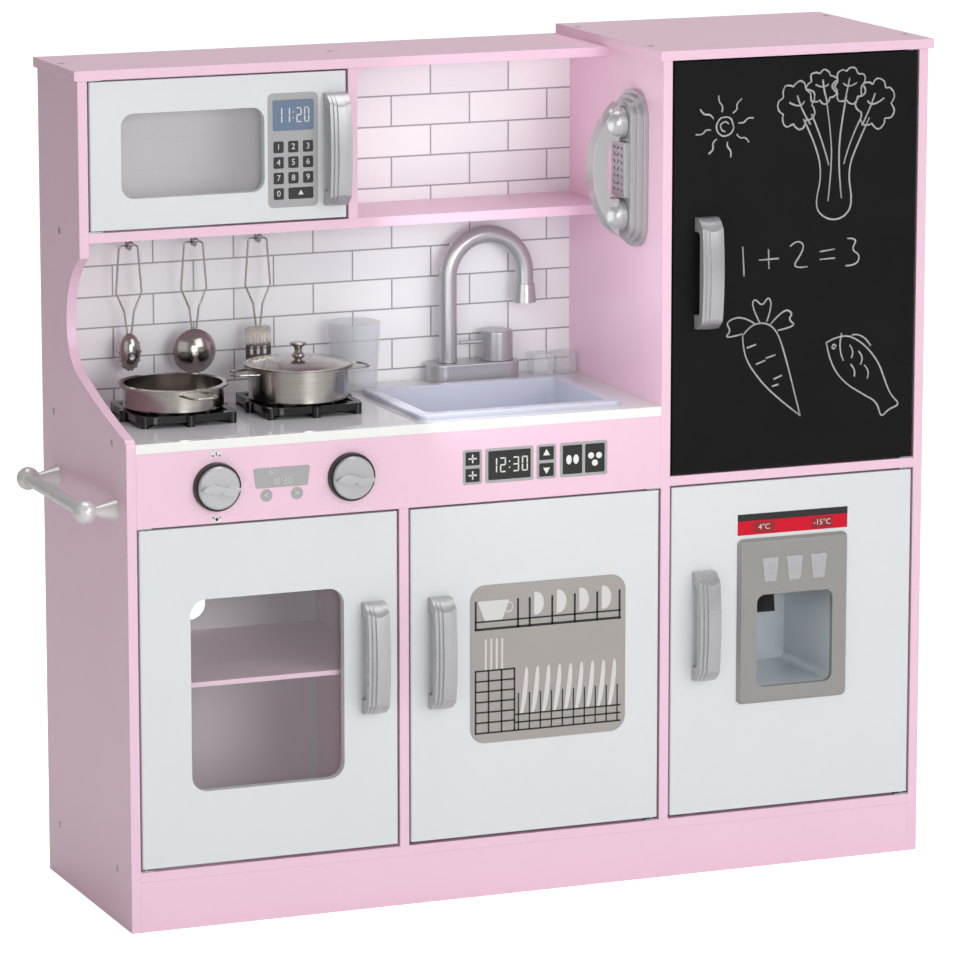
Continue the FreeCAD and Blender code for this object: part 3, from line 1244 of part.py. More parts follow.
os.makedirs("parts", exist_ok=True)
make_cabinet()
make_doors()
make_controls()
make_worktop_pieces()
make_utensils()
make_wall_pieces()
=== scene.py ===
# %% [markdown]
# # A toy kitchen
# The boards, doors, tap and pots arrive as a fixed frame of named parts, already in their right
# places and in metres. Blender adds what paint, print, plastic and steel look like. The frame is
# loaded first, and everything added later takes its place from the frame's own boxes.

# %% Load the frame
import math
import random

import bmesh
import bpy
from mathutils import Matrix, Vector


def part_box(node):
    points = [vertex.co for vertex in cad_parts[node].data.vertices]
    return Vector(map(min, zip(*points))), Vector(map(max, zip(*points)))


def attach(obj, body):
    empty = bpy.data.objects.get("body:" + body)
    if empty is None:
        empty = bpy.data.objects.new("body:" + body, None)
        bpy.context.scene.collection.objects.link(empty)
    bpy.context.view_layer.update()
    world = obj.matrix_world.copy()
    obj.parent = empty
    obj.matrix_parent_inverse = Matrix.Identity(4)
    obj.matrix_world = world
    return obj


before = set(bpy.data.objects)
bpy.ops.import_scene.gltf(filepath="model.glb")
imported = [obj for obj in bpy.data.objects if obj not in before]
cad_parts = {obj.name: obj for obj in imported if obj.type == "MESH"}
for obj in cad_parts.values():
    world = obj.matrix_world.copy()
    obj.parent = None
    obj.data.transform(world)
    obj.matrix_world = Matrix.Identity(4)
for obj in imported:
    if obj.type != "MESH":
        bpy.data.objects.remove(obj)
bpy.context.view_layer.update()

MM = 0.001

# %% [markdown]
# ## The camera
# A long lens from far off keeps upright edges almost parallel.
# The camera looks a little down and in from the left.

# %% Camera
CAMERA_AT = Vector((-1.89, -4.6812, 1.3641))
CAMERA_AZIMUTH = math.radians(-22.058)
CAMERA_ELEVATION = math.radians(11.119)
LENS = 205.68

bpy.ops.object.select_all(action="DESELECT")
bpy.ops.object.camera_add(location=CAMERA_AT)
camera = bpy.context.object
level = math.cos(CAMERA_ELEVATION)
back = Vector(
    (math.sin(CAMERA_AZIMUTH) * level, -math.cos(CAMERA_AZIMUTH) * level, math.sin(CAMERA_ELEVATION))
)
camera.rotation_mode = "QUATERNION"
camera.rotation_quaternion = (-back).to_track_quat("-Z", "Y")
camera.data.lens = LENS
camera.data.sensor_width = 36
camera.data.clip_end = 60
bpy.context.scene.camera = camera
print("camera lens", LENS)

# %% [markdown]
# ## Light and floor
# Large soft lamps give smooth falloff. The main one stands at the front right, so fronts are
# bright and the left side falls into shade. A low one in front reaches the tiles and the oven,
# and a small one inside the open space lifts the refrigerator's side. Two more, at the left and
# overhead, soften the shade and light the tops. The backdrop is white to the eye but lights the
# piece only a little.

# %% Floor and lamps
bpy.ops.object.select_all(action="DESELECT")
bpy.ops.mesh.primitive_plane_add(size=30, location=(0, 0, 0))
floor = bpy.context.object
floor.name = "floor"

DIM_LIGHT = 0.3
WHITE_TO_THE_EYE = 1.0
world = bpy.data.worlds.new("studio")
world.use_nodes = True
dim = world.node_tree.nodes["Background"]
dim.inputs["Color"].default_value = (1, 1, 1, 1)
dim.inputs["Strength"].default_value = DIM_LIGHT
bright = world.node_tree.nodes.new("ShaderNodeBackground")
bright.inputs["Color"].default_value = (1, 1, 1, 1)
bright.inputs["Strength"].default_value = WHITE_TO_THE_EYE
path = world.node_tree.nodes.new("ShaderNodeLightPath")
choose = world.node_tree.nodes.new("ShaderNodeMixShader")
world.node_tree.links.new(path.outputs["Is Camera Ray"], choose.inputs[0])
world.node_tree.links.new(dim.outputs[0], choose.inputs[1])
world.node_tree.links.new(bright.outputs[0], choose.inputs[2])
world.node_tree.links.new(choose.outputs[0], world.node_tree.nodes["World Output"].inputs["Surface"])
bpy.context.scene.world = world
bpy.context.scene.view_settings.view_transform = "Standard"


def soft_lamp(name, at, aim, size, watts):
    bpy.ops.object.light_add(type="AREA", location=at)
    lamp = bpy.context.object
    lamp.name = name
    lamp.data.size = size
    lamp.data.energy = watts
    lamp.visible_camera = False
    lamp.rotation_mode = "QUATERNION"
    lamp.rotation_quaternion = (Vector(aim) - Vector(at)).to_track_quat("-Z", "Y")
    return lamp


soft_lamp("main_lamp", (1.6, -3.2, 2.3), (0, 0, 0.4), 2.2, 35)
soft_lamp("front_lamp", (0.1, -3.6, 0.95), (0, 0, 0.5), 1.2, 34)
soft_lamp("fill_lamp", (-2.6, -2.6, 1.5), (0, 0, 0.4), 2.6, 12)
soft_lamp("top_lamp", (0.2, 0.4, 3.2), (0, 0, 0.4), 2.4, 46)
soft_lamp("niche_lamp", (-0.08, -0.16, 0.6), (0.4, -0.12, 0.58), 0.28, 0.36)

# %% [markdown]
# ## Shared surface effects
# Paint and plastic are never perfectly even. Two node groups serve every finish: one gives soft
# patches and fine grain, the other finds edges, whose lighter colour is partly wear, where paint is
# thinner, and partly a painted highlight.
# A group is built once and placed in each material with that material's own values.

# %% Node groups
def new_group(name, inputs, outputs):
    group = bpy.data.node_groups.new(name, "ShaderNodeTree")
    for label, kind, value in inputs:
        socket = group.interface.new_socket(label, in_out="INPUT", socket_type=kind)
        if value is not None:
            socket.default_value = value
    for label, kind in outputs:
        group.interface.new_socket(label, in_out="OUTPUT", socket_type=kind)
    return group, group.nodes.new("NodeGroupInput"), group.nodes.new("NodeGroupOutput")


def patchy_group():
    group, given, out = new_group(
        "patches_and_grain",
        [
            ("Vector", "NodeSocketVector", None), ("Patch Scale", "NodeSocketFloat", 9.0),
            ("Grain Scale", "NodeSocketFloat", 900.0)
        ],
        [("Patches", "NodeSocketFloat"), ("Grain", "NodeSocketFloat")],
    )
    for label, detail, scale in (("Patches", 3.0, "Patch Scale"), ("Grain", 2.0, "Grain Scale")):
        noise = group.nodes.new("ShaderNodeTexNoise")
        noise.inputs["Detail"].default_value = detail
        group.links.new(given.outputs["Vector"], noise.inputs["Vector"])
        group.links.new(given.outputs[scale], noise.inputs["Scale"])
        group.links.new(noise.outputs["Fac"], out.inputs[label])
    return group


def edge_group():
    group, given, out = new_group(
        "soft_edges", [("Radius", "NodeSocketFloat", 0.001)],
        [("Edge", "NodeSocketFloat"), ("Normal", "NodeSocketVector")]
    )
    bevel = group.nodes.new("ShaderNodeBevel")
    bevel.samples = 4
    group.links.new(given.outputs["Radius"], bevel.inputs["Radius"])
    surface = group.nodes.new("ShaderNodeNewGeometry")
    compare = group.nodes.new("ShaderNodeVectorMath")
    compare.operation = "DOT_PRODUCT"
    group.links.new(bevel.outputs["Normal"], compare.inputs[0])
    group.links.new(surface.outputs["Normal"], compare.inputs[1])
    spread = group.nodes.new("ShaderNodeMapRange")
    spread.inputs["From Min"].default_value = 1.0
    spread.inputs["From Max"].default_value = 0.75
    group.links.new(compare.outputs["Value"], spread.inputs["Value"])
    group.links.new(spread.outputs["Result"], out.inputs["Edge"])
    group.links.new(bevel.outputs["Normal"], out.inputs["Normal"])
    return group


PATCHY = patchy_group()
EDGES = edge_group()
print("groups", PATCHY.name, EDGES.name)

# %% [markdown]
# ## One recipe for most finishes
# Each finish mixes two near shades by the patches, lightens or darkens at the edges, and lets the
# roughness wander. The lighter edge colour is partly wear and partly a painted highlight. The shader
# itself stays in the material. Values that are the same all over are set straight on its sockets.

# %% Finish recipe
GRAIN_DEPTH = 0.2 * MM


def shade(r, g, b):
    """A screen colour from 0 to 255 as the linear colour that Blender mixes with."""
    return tuple(
        ((c / 255 + 0.055) / 1.055) ** 2.4 if c > 10 else c / 255 / 12.92
        for c in (r, g, b)
    ) + (1.0,)


def finish(
    name, main, second, edge, rough=(0.3, 0.4), patch=9.0, grain=900.0, bump=0.05, radius=0.0008,
    stretch=(1, 1, 1), **fixed
):
    material = bpy.data.materials.new(name)
    material.use_nodes = True
    tree = material.node_tree
    shader = tree.nodes["Principled BSDF"]
    for label, value in fixed.items():
        shader.inputs[label.replace("_", " ")].default_value = value
    place = tree.nodes.new("ShaderNodeTexCoord")
    turn = tree.nodes.new("ShaderNodeMapping")
    turn.inputs["Scale"].default_value = stretch
    tree.links.new(place.outputs["Object"], turn.inputs["Vector"])
    patches = tree.nodes.new("ShaderNodeGroup")
    patches.node_tree = PATCHY
    patches.inputs["Patch Scale"].default_value = patch
    patches.inputs["Grain Scale"].default_value = grain
    tree.links.new(turn.outputs["Vector"], patches.inputs["Vector"])
    edges = tree.nodes.new("ShaderNodeGroup")
    edges.node_tree = EDGES
    edges.inputs["Radius"].default_value = radius
    base = mix_colours(tree, patches.outputs["Patches"], main, second)
    # The edge colour, lighter on nearly every finish, is a painted highlight along the edges and partly
    # wear.
    worn_and_highlit_edge = mix_colours(tree, edges.outputs["Edge"], None, edge)
    tree.links.new(base.outputs["Result"], worn_and_highlit_edge.inputs["A"])
    tree.links.new(worn_and_highlit_edge.outputs["Result"], shader.inputs["Base Color"])
    gloss = tree.nodes.new("ShaderNodeMapRange")
    gloss.inputs["To Min"].default_value, gloss.inputs["To Max"].default_value = rough
    tree.links.new(patches.outputs["Patches"], gloss.inputs["Value"])
    tree.links.new(gloss.outputs["Result"], shader.inputs["Roughness"])
    relief = tree.nodes.new("ShaderNodeBump")
    relief.inputs["Strength"].default_value = bump
    relief.inputs["Distance"].default_value = GRAIN_DEPTH
    tree.links.new(patches.outputs["Grain"], relief.inputs["Height"])
    tree.links.new(edges.outputs["Normal"], relief.inputs["Normal"])
    tree.links.new(relief.outputs["Normal"], shader.inputs["Normal"])
    return material


def mix_colours(tree, factor, first, second):
    mix = tree.nodes.new("ShaderNodeMix")
    mix.data_type = "RGBA"
    mix.inputs["Factor"].default_value = 0.0
    tree.links.new(factor, mix.inputs["Factor"])
    if first:
        mix.inputs[6].default_value = first
    mix.inputs[7].default_value = second
    return ColourSockets(mix)


class ColourSockets:
    """The colour sockets of a Mix node, which share their names with its number sockets."""

    def __init__(self, mix):
        self.inputs = {"A": mix.inputs[6], "B": mix.inputs[7]}
        self.outputs = {"Result": mix.outputs[2]}


print("recipe ready")

# %% [markdown]
# ## The finishes
# Pink satin paint, white lacquer, chalkboard, laminate, painted silver plastic and polished steel
# all come from the one recipe. Steel is drawn out along one direction, as brushing leaves it.

# %% Finishes
PINK = finish(
    "pink_paint", shade(241, 203, 222), shade(237, 198, 218), shade(250, 216, 234), rough=(0.28, 0.38),
    Coat_Weight=0.3, Coat_Roughness=0.1
)
WHITE = finish(
    "white_lacquer", shade(222, 226, 228), shade(217, 221, 224), shade(238, 241, 242), rough=(0.34, 0.46),
    Coat_Weight=0.1, Coat_Roughness=0.3
)
CHALK = finish(
    "chalkboard", shade(15, 15, 16), shade(26, 26, 27), shade(50, 50, 50), rough=(0.5, 0.72), patch=14,
    bump=0.12, Specular_IOR_Level=0.1
)
LAMINATE = finish(
    "grey_laminate", shade(219, 219, 221), shade(213, 213, 216), shade(228, 228, 227), rough=(0.03, 0.07),
    bump=0.01
)
BACKING = finish(
    "white_hardboard", shade(249, 247, 249), shade(243, 241, 244), shade(251, 250, 251), rough=(0.45, 0.6)
)
SILVER = finish(
    "silver_plastic", shade(190, 190, 192), shade(180, 180, 183), shade(216, 216, 218), rough=(0.24, 0.32),
    grain=2600, Metallic=0.6, radius=0.0005
)
DISPENSER = finish(
    "dispenser_silver", shade(157, 155, 151), shade(150, 148, 144), shade(188, 186, 184), rough=(0.3, 0.4),
    grain=2600, Metallic=0.3
)
RAIL = finish(
    "bright_silver_plastic", shade(226, 223, 222), shade(216, 213, 213), shade(236, 235, 235),
    rough=(0.24, 0.32), grain=2600, Metallic=0.3, radius=0.0005
)
BLACK = finish(
    "black_plastic", shade(12, 12, 13), shade(18, 18, 19), shade(40, 40, 42), rough=(0.1, 0.2),
    radius=0.0005
)
SINK = finish(
    "lilac_plastic", shade(200, 204, 218), shade(195, 199, 214), shade(222, 225, 233), rough=(0.16, 0.26),
    bump=0.02
)
STEEL = finish(
    "polished_steel", shade(184, 179, 172), shade(160, 155, 150), shade(206, 202, 198), rough=(0.1, 0.22),
    patch=30, grain=700, bump=0.08, radius=0.0003, stretch=(1, 1, 14), Metallic=1.0
)
HARDWARE = finish(
    "zinc_steel", shade(186, 186, 188), shade(166, 166, 170), shade(212, 212, 214), rough=(0.24, 0.4),
    radius=0.0003, Metallic=1.0
)
CATCH = finish("catch_plastic", shade(224, 224, 222), shade(216, 216, 214), shade(234, 234, 232))
WARM_GREY = finish(
    "warm_grey_print", shade(168, 162, 157), shade(162, 157, 152), shade(178, 172, 167), rough=(0.4, 0.5)
)
PRINT_GREY = finish(
    "grey_print", shade(172, 171, 172), shade(165, 164, 166), shade(184, 184, 184), rough=(0.36, 0.46)
)
PRINT_WHITE = finish(
    "white_print", shade(236, 236, 232), shade(228, 228, 225), shade(242, 242, 240), rough=(0.4, 0.5)
)
PRINT_CHINA = finish(
    "china_print", shade(218, 216, 212), shade(210, 207, 203), shade(228, 227, 224), rough=(0.4, 0.5)
)
PRINT_BLACK = finish(
    "black_print", shade(20, 20, 22), shade(28, 28, 30), shade(40, 40, 42), rough=(0.35, 0.45)
)
PRINT_SLATE = finish(
    "slate_print", shade(104, 124, 150), shade(97, 117, 144), shade(120, 138, 160), rough=(0.3, 0.4)
)
PRINT_RED = finish(
    "red_print", shade(214, 22, 46), shade(204, 20, 43), shade(222, 50, 70), rough=(0.34, 0.44),
    Specular_IOR_Level=0.15
)
PRINT_DARK_RED = finish(
    "dark_red_print", shade(150, 14, 30), shade(142, 13, 28), shade(165, 30, 45), rough=(0.34, 0.44)
)
CHALK_LINE = finish(
    "chalk_line", shade(232, 232, 230), shade(120, 120, 120), shade(205, 205, 205), rough=(0.85, 0.95),
    patch=420, grain=2400, bump=0.5
)
CLEAR = finish(
    "clear_sheet", shade(244, 245, 247), shade(238, 240, 243), shade(250, 251, 252), rough=(0.03, 0.08),
    bump=0.0, radius=0.0002, Alpha=0.2
)
OVEN_PANE = finish(
    "clear_oven_sheet", shade(244, 245, 247), shade(238, 240, 243), shade(250, 251, 252),
    rough=(0.03, 0.08), bump=0.0, radius=0.0002, Alpha=0.07
)
FROSTED = finish(
    "frosted_plastic", shade(232, 235, 239), shade(224, 228, 233), shade(246, 247, 249), rough=(0.2, 0.36),
    bump=0.04, Alpha=0.28
)
# The floor glows only to the eye, so that it reads as a plain white backdrop.
FLOOR_GLOW = 0.85
FLOOR = finish(
    "pale_floor", shade(250, 250, 250), shade(247, 247, 247), shade(250, 250, 250), rough=(0.7, 0.8),
    bump=0.0
)
floor.data.materials.append(FLOOR)
glow = FLOOR.node_tree
seen = glow.nodes.new("ShaderNodeLightPath")
share = glow.nodes.new("ShaderNodeMath")
share.operation = "MULTIPLY"
share.inputs[1].default_value = FLOOR_GLOW
glow.links.new(seen.outputs["Is Camera Ray"], share.inputs[0])
glow.nodes["Principled BSDF"].inputs["Emission Color"].default_value = (1, 1, 1, 1)
glow.links.new(share.outputs["Value"], glow.nodes["Principled BSDF"].inputs["Emission Strength"])


def second_colour(material, start, other, test="GREATER_THAN"):
    """Give a part another colour behind a depth, or in front of it."""
    tree = material.node_tree
    shader = tree.nodes["Principled BSDF"]
    outside = shader.inputs["Base Color"].links[0].from_socket
    place = tree.nodes.new("ShaderNodeTexCoord")
    apart = tree.nodes.new("ShaderNodeSeparateXYZ")
    tree.links.new(place.outputs["Object"], apart.inputs["Vector"])
    deep = tree.nodes.new("ShaderNodeMath")
    deep.operation = test
    deep.inputs[1].default_value = start
    tree.links.new(apart.outputs["Y"], deep.inputs[0])
    mix = mix_colours(tree, deep.outputs["Value"], None, other)
    tree.links.new(outside, mix.inputs["A"])
    tree.links.new(mix.outputs["Result"], shader.inputs["Base Color"])


# The dispenser is paler in its recess, and the worktop's front edge has a cream strip.
second_colour(DISPENSER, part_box("fridge_door")[0].y + 1 * MM, shade(215, 221, 225))
second_colour(LAMINATE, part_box("worktop")[0].y + 0.2 * MM, shade(243, 243, 238), "LESS_THAN")
print("finishes", len(bpy.data.materials))

# %% [markdown]
# ## Printed tiles
# The splash panel is printed with tiles in running bond. A brick texture lays them out, in the
# panel's own plane, and its mortar also lowers the surface a little so that the joints show.

# %% Tiles
TILE = (79.4 * MM, 29 * MM)
TILE_START = (38.95 * MM, -27.4 * MM, 0)
GROUT = 1.7 * MM
GROUT_DEPTH = 0.4 * MM


def microwave_back_mask(tree, apart):
    """1 on the part of the panel that closes the microwave's back, which has no print."""
    tests = []
    for axis, limit, sign in (
        ("X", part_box("microwave_divider")[0].x, "LESS_THAN"),
        ("Z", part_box("upper_shelf")[1].z, "GREATER_THAN")
    ):
        test = tree.nodes.new("ShaderNodeMath")
        test.operation = sign
        tree.links.new(apart.outputs[axis], test.inputs[0])
        test.inputs[1].default_value = limit
        tests.append(test)
    both = tree.nodes.new("ShaderNodeMath")
    both.operation = "MULTIPLY"
    for index, test in enumerate(tests):
        tree.links.new(test.outputs["Value"], both.inputs[index])
    return both


def tiles():
    material = finish(
        "printed_tiles", shade(226, 229, 236), shade(220, 224, 232), shade(236, 238, 242),
        rough=(0.14, 0.24)
    )
    tree = material.node_tree
    shader = tree.nodes["Principled BSDF"]
    place = tree.nodes.new("ShaderNodeTexCoord")
    apart = tree.nodes.new("ShaderNodeSeparateXYZ")
    flat = tree.nodes.new("ShaderNodeCombineXYZ")
    tree.links.new(place.outputs["Object"], apart.inputs["Vector"])
    tree.links.new(apart.outputs["X"], flat.inputs["X"])
    tree.links.new(apart.outputs["Z"], flat.inputs["Y"])
    brick = tree.nodes.new("ShaderNodeTexBrick")
    brick.offset = 0.5
    for label, value in (
        ("Scale", 1.0), ("Mortar Size", GROUT / 2), ("Mortar Smooth", 0.3), ("Brick Width", TILE[0]),
        ("Row Height", TILE[1])
    ):
        brick.inputs[label].default_value = value
    brick.inputs["Color1"].default_value = shade(249, 249, 251)
    brick.inputs["Color2"].default_value = shade(241, 242, 245)
    brick.inputs["Mortar"].default_value = shade(162, 163, 167)
    shift = tree.nodes.new("ShaderNodeMapping")
    shift.inputs["Location"].default_value = TILE_START
    tree.links.new(flat.outputs["Vector"], shift.inputs["Vector"])
    tree.links.new(shift.outputs["Vector"], brick.inputs["Vector"])
    behind_microwave = microwave_back_mask(tree, apart)
    plain = mix_colours(tree, behind_microwave.outputs["Value"], None, shade(249, 247, 249))
    tree.links.new(brick.outputs["Color"], plain.inputs["A"])
    tree.links.new(plain.outputs["Result"], shader.inputs["Base Color"])
    sink_in = tree.nodes.new("ShaderNodeBump")
    sink_in.invert = True
    sink_in.inputs["Strength"].default_value = 0.5
    sink_in.inputs["Distance"].default_value = GROUT_DEPTH
    tree.links.new(brick.outputs["Fac"], sink_in.inputs["Height"])
    tree.links.new(sink_in.outputs["Normal"], shader.inputs["Normal"])
    return material


TILES = tiles()
# The print is only on the front face. The panel's back is plain board.
second_colour(TILES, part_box("tile_panel")[0].y + 1 * MM, shade(249, 247, 249))
print("tile", TILE)

# %% [markdown]
# ## Dressing the frame's parts
# The parts keep their shapes and only take a finish. Each finish is listed with what it covers.

# %% Finishes on the parts
DRESS = {
    "left_side_panel right_side_panel fridge_side_panel lower_divider microwave_divider "
    "bottom_shelf plinth_board control_panel upper_shelf left_top_board fridge_top_board "
    "fridge_mid_shelf oven_shelf": PINK,
    "microwave_door oven_door dishwasher_door fridge_door": WHITE,
    "freezer_door": CHALK,
    "worktop": LAMINATE,
    "tile_panel": TILES,
    "lower_back_panel fridge_back_panel": BACKING,
    "tap_base tap_spout tap_handle phone_base phone_handset left_knob right_knob "
    "microwave_handle oven_handle dishwasher_handle freezer_handle fridge_handle": SILVER,
    "towel_rail_ends towel_rail_bar": RAIL,
    "ice_dispenser": DISPENSER,
    "pan_supports knob_bezels dispenser_lever": BLACK,
    "sink_basin": SINK,
    "microwave_window": CLEAR,
    "oven_window": OVEN_PANE,
    "tumbler left_ice_cube right_ice_cube": FROSTED,
    "left_pot right_pot pot_lid lid_knob pasta_server ladle spatula": STEEL,
    "hinge_pins utensil_hooks cabinet_screws": HARDWARE,
    "door_magnets": CATCH,
    "dishwasher_sticker": WARM_GREY,
    "keypad_sticker control_stickers": PRINT_GREY,
}
for names, material in DRESS.items():
    for name in names.split():
        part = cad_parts[name]
        if not part.material_slots:
            part.data.materials.append(material)
        for held in part.material_slots:
            held.material = material
undressed = set(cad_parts) - {n for names in DRESS for n in names.split()}
print("parts without a finish:", sorted(undressed))

# %% [markdown]
# ## Tools for thin print
# A print is a film on a board. Each patch starts as a block at its own size, and its upright
# corners are bevelled in edit mode. Raising it a tenth of a millimetre keeps it off its backing.

# %% Thin patches
FILM = 0.12 * MM
SAME_PLACE = 0.000001


def alone():
    bpy.ops.object.select_all(action="DESELECT")


def patch(x0, x1, z0, z1, face, corner=0.0, film=FILM):
    """A thin patch on a surface that faces the front at y = face."""
    alone()
    bpy.ops.mesh.primitive_cube_add(
        size=1, location=((x0 + x1) / 2, face - film / 2, (z0 + z1) / 2), scale=(x1 - x0, film, z1 - z0)
    )
    made = bpy.context.object
    bpy.ops.object.transform_apply(location=True, rotation=False, scale=True)
    if corner:
        bpy.ops.object.mode_set(mode="EDIT")
        bpy.ops.mesh.select_all(action="DESELECT")
        bpy.ops.mesh.select_mode(type="EDGE")
        mesh = bmesh.from_edit_mesh(made.data)
        for edge in mesh.edges:
            a, b = edge.verts
            edge.select = abs(a.co.x - b.co.x) < SAME_PLACE and abs(a.co.z - b.co.z) < SAME_PLACE
        bmesh.update_edit_mesh(made.data)
        bpy.ops.mesh.bevel(offset=corner, segments=4, affect="EDGES")
        bpy.ops.object.mode_set(mode="OBJECT")
    return made


def disc(x, z, radius, face, film=FILM, sides=20, tall=1.0, lean=0.0):
    alone()
    bpy.ops.mesh.primitive_cylinder_add(
        vertices=sides, radius=radius, depth=film, location=(x, face - film / 2, z),
        rotation=(math.pi / 2, lean, 0), scale=(1, tall, 1)
    )
    bpy.ops.object.transform_apply(location=True, rotation=True, scale=True)
    return bpy.context.object


def figures(text, x, z, height, face, film=FILM):
    """Printed digits, centred on a point. The text becomes a mesh before it is placed."""
    alone()
    bpy.ops.object.text_add(location=(0, 0, 0))
    made = bpy.context.object
    made.data.body = text
    made.data.align_x = "CENTER"
    made.data.align_y = "CENTER"
    made.data.size = height * 1.4
    made.data.extrude = film / 2
    made.data.resolution_u = 3
    bpy.ops.object.convert(target="MESH")
    made = bpy.context.object
    bpy.ops.object.mode_set(mode="EDIT")
    bpy.ops.mesh.select_all(action="SELECT")
    bpy.ops.mesh.remove_doubles(threshold=SAME_PLACE)
    bpy.ops.mesh.normals_make_consistent(inside=False)
    bpy.ops.object.mode_set(mode="OBJECT")
    made.rotation_euler = (math.pi / 2, 0, 0)
    made.location = (x, face - film / 2, z)
    bpy.ops.object.transform_apply(location=True, rotation=True, scale=True)
    return made


def piece(parts, name, material, body):
    """Join loose shapes into one named piece with a finish, riding on a body."""
    alone()
    for part in parts:
        part.select_set(True)
    bpy.context.view_layer.objects.active = parts[0]
    if len(parts) > 1:
        bpy.ops.object.join()
    made = bpy.context.object
    made.name = name
    made.data.materials.clear()
    made.data.materials.append(material)
    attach(made, body)
    print(name, len(made.data.polygons), "faces")
    return made


# %% [markdown]
# ## Display digits
# Clocks show digits built of seven bars. Which bars are lit for each digit is a short table, and
# a bar is a patch, so a whole display is a loop.

# %% Seven-bar digits
BARS = {
    "0": "abcdef", "1": "bc", "2": "abged", "3": "abgcd", "4": "fgbc", "5": "afgcd", "6": "afgedc",
    "7": "abc", "8": "abcdefg", "9": "abcdfg"
}


def display(text, x, z, wide, tall, bar, face):
    """Digits of seven bars in a row that is centred on a point."""
    step = wide * 1.45
    widths = [step * 0.5 if c == ":" else step for c in text]
    left = x - sum(widths) / 2
    made = []
    for mark, room in zip(text, widths):
        middle = left + room / 2
        left += room
        if mark == ":":
            made += [
                patch(
                    middle - bar / 2, middle + bar / 2, z + s * tall * 0.2 - bar / 2,
                    z + s * tall * 0.2 + bar / 2, face
                )
                for s in (-1, 1)
            ]
            continue
        x0, x1 = middle - wide / 2, middle + wide / 2
        half = tall / 2
        gap = bar * 0.3
        spots = {
            "a": (x0 + gap, x1 - gap, z + half - bar, z + half),
            "d": (x0 + gap, x1 - gap, z - half, z - half + bar),
            "g": (x0 + gap, x1 - gap, z - bar / 2, z + bar / 2),
            "b": (x1 - bar, x1, z + gap, z + half - gap),
            "c": (x1 - bar, x1, z - half + gap, z - gap),
            "f": (x0, x0 + bar, z + gap, z + half - gap),
            "e": (x0, x0 + bar, z - half + gap, z - gap),
        }
        made += [patch(*spots[b], face) for b in BARS[mark]]
    return made


# %% [markdown]
# ## The microwave's keypad
# A grey sticker holds a slate display over a grid of black keys with white digits. Keys are
# spaced evenly, so they come from rows and columns. The wide start key carries a plain triangle.

# %% Keypad
low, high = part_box("keypad_sticker")
KEY_FACE = low.y
KEY_PITCH = 14.4 * MM
KEY_SIZE = (10.0 * MM, 10.7 * MM)
KEY_CORNER = 1.2 * MM
first_x = low.x + 5.2 * MM
first_z = high.z - 55.1 * MM
screen = (low.x + 4.7 * MM, high.x - 4.1 * MM, high.z - 34.7 * MM, high.z - 6.3 * MM)
piece(
    [patch(*screen, KEY_FACE, corner=1.5 * MM)], "keypad_screen", PRINT_SLATE, "microwave_door",
)
middle_x = (screen[0] + screen[1]) / 2
piece(
    display("11:20", middle_x, (screen[2] + screen[3]) / 2, 5.2 * MM, 14 * MM, 1.2 * MM, KEY_FACE - FILM),
    "keypad_time", PRINT_WHITE, "microwave_door"
)
keys, marks = [], []
for index, digit in enumerate("1234567890"):
    column, row = (0, 3) if digit == "0" else (index % 3, index // 3)
    x0 = first_x + column * KEY_PITCH
    z0 = first_z - row * KEY_PITCH
    keys.append(patch(x0, x0 + KEY_SIZE[0], z0, z0 + KEY_SIZE[1], KEY_FACE, corner=KEY_CORNER))
    marks.append(figures(digit, x0 + KEY_SIZE[0] / 2, z0 + KEY_SIZE[1] / 2, 5.6 * MM, KEY_FACE - FILM))
wide_x = first_x + KEY_PITCH
wide_z = first_z - 3 * KEY_PITCH
keys.append(
    patch(
        wide_x, wide_x + KEY_PITCH + KEY_SIZE[0], wide_z, wide_z + KEY_SIZE[1], KEY_FACE,
        corner=KEY_CORNER
    )
)
marks.append(
    disc(wide_x + (KEY_PITCH + KEY_SIZE[0]) / 2, wide_z + KEY_SIZE[1] / 2, 3 * MM, KEY_FACE - FILM, sides=3)
)
piece(keys, "keypad_keys", PRINT_BLACK, "microwave_door")
piece(marks, "keypad_marks", PRINT_WHITE, "microwave_door")

# %% [markdown]
# ## The control panel's print
# Four small stickers show black squares with white signs, and a clock sits between the knobs.
# A ring of dots round each knob marks the heat. Ovals above and below the left one carry a bar
# for on and a dot for off.

# %% Control panel print
PANEL_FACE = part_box("control_panel")[0].y
STICKER_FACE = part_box("control_stickers")[0].y
origin_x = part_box("left_side_panel")[0].x


def at_x(mm):
    """A place given from the left panel's outer face, in the object's frame."""
    return origin_x + mm * MM


blacks, whites = [], []
for x0, x1, z0, z1 in (
    (326, 340, 409, 421.5), (326, 340, 393.5, 406), (348.5, 390.5, 394, 421),
    (399, 413.6, 409, 421.5), (399, 413.6, 393.5, 406), (422.5, 442, 394, 421), (445, 464.6, 394, 421),
):
    blacks.append(patch(at_x(x0), at_x(x1), z0 * MM, z1 * MM, STICKER_FACE, corner=1 * MM))
lit = STICKER_FACE - FILM
whites += display("12:30", at_x(369.5), 407.5 * MM, 6 * MM, 14 * MM, 1.3 * MM, lit)
for x, z in ((333, 415.2), (333, 399.7)):
    whites.append(patch(at_x(x - 4), at_x(x + 4), (z - 0.7) * MM, (z + 0.7) * MM, lit))
    whites.append(patch(at_x(x - 0.7), at_x(x + 0.7), (z - 4) * MM, (z + 4) * MM, lit))
for z, down in ((415.2, False), (399.7, True)):
    arrow = disc(at_x(406.3), z * MM, 4 * MM, lit, sides=3)
    if down:
        alone()
        arrow.select_set(True)
        bpy.context.view_layer.objects.active = arrow
        bpy.ops.object.mode_set(mode="EDIT")
        bpy.ops.mesh.select_all(action="SELECT")
        bpy.ops.transform.rotate(value=math.pi, orient_axis="Y", center_override=(at_x(406.3), lit, z * MM))
        bpy.ops.object.mode_set(mode="OBJECT")
    whites.append(arrow)
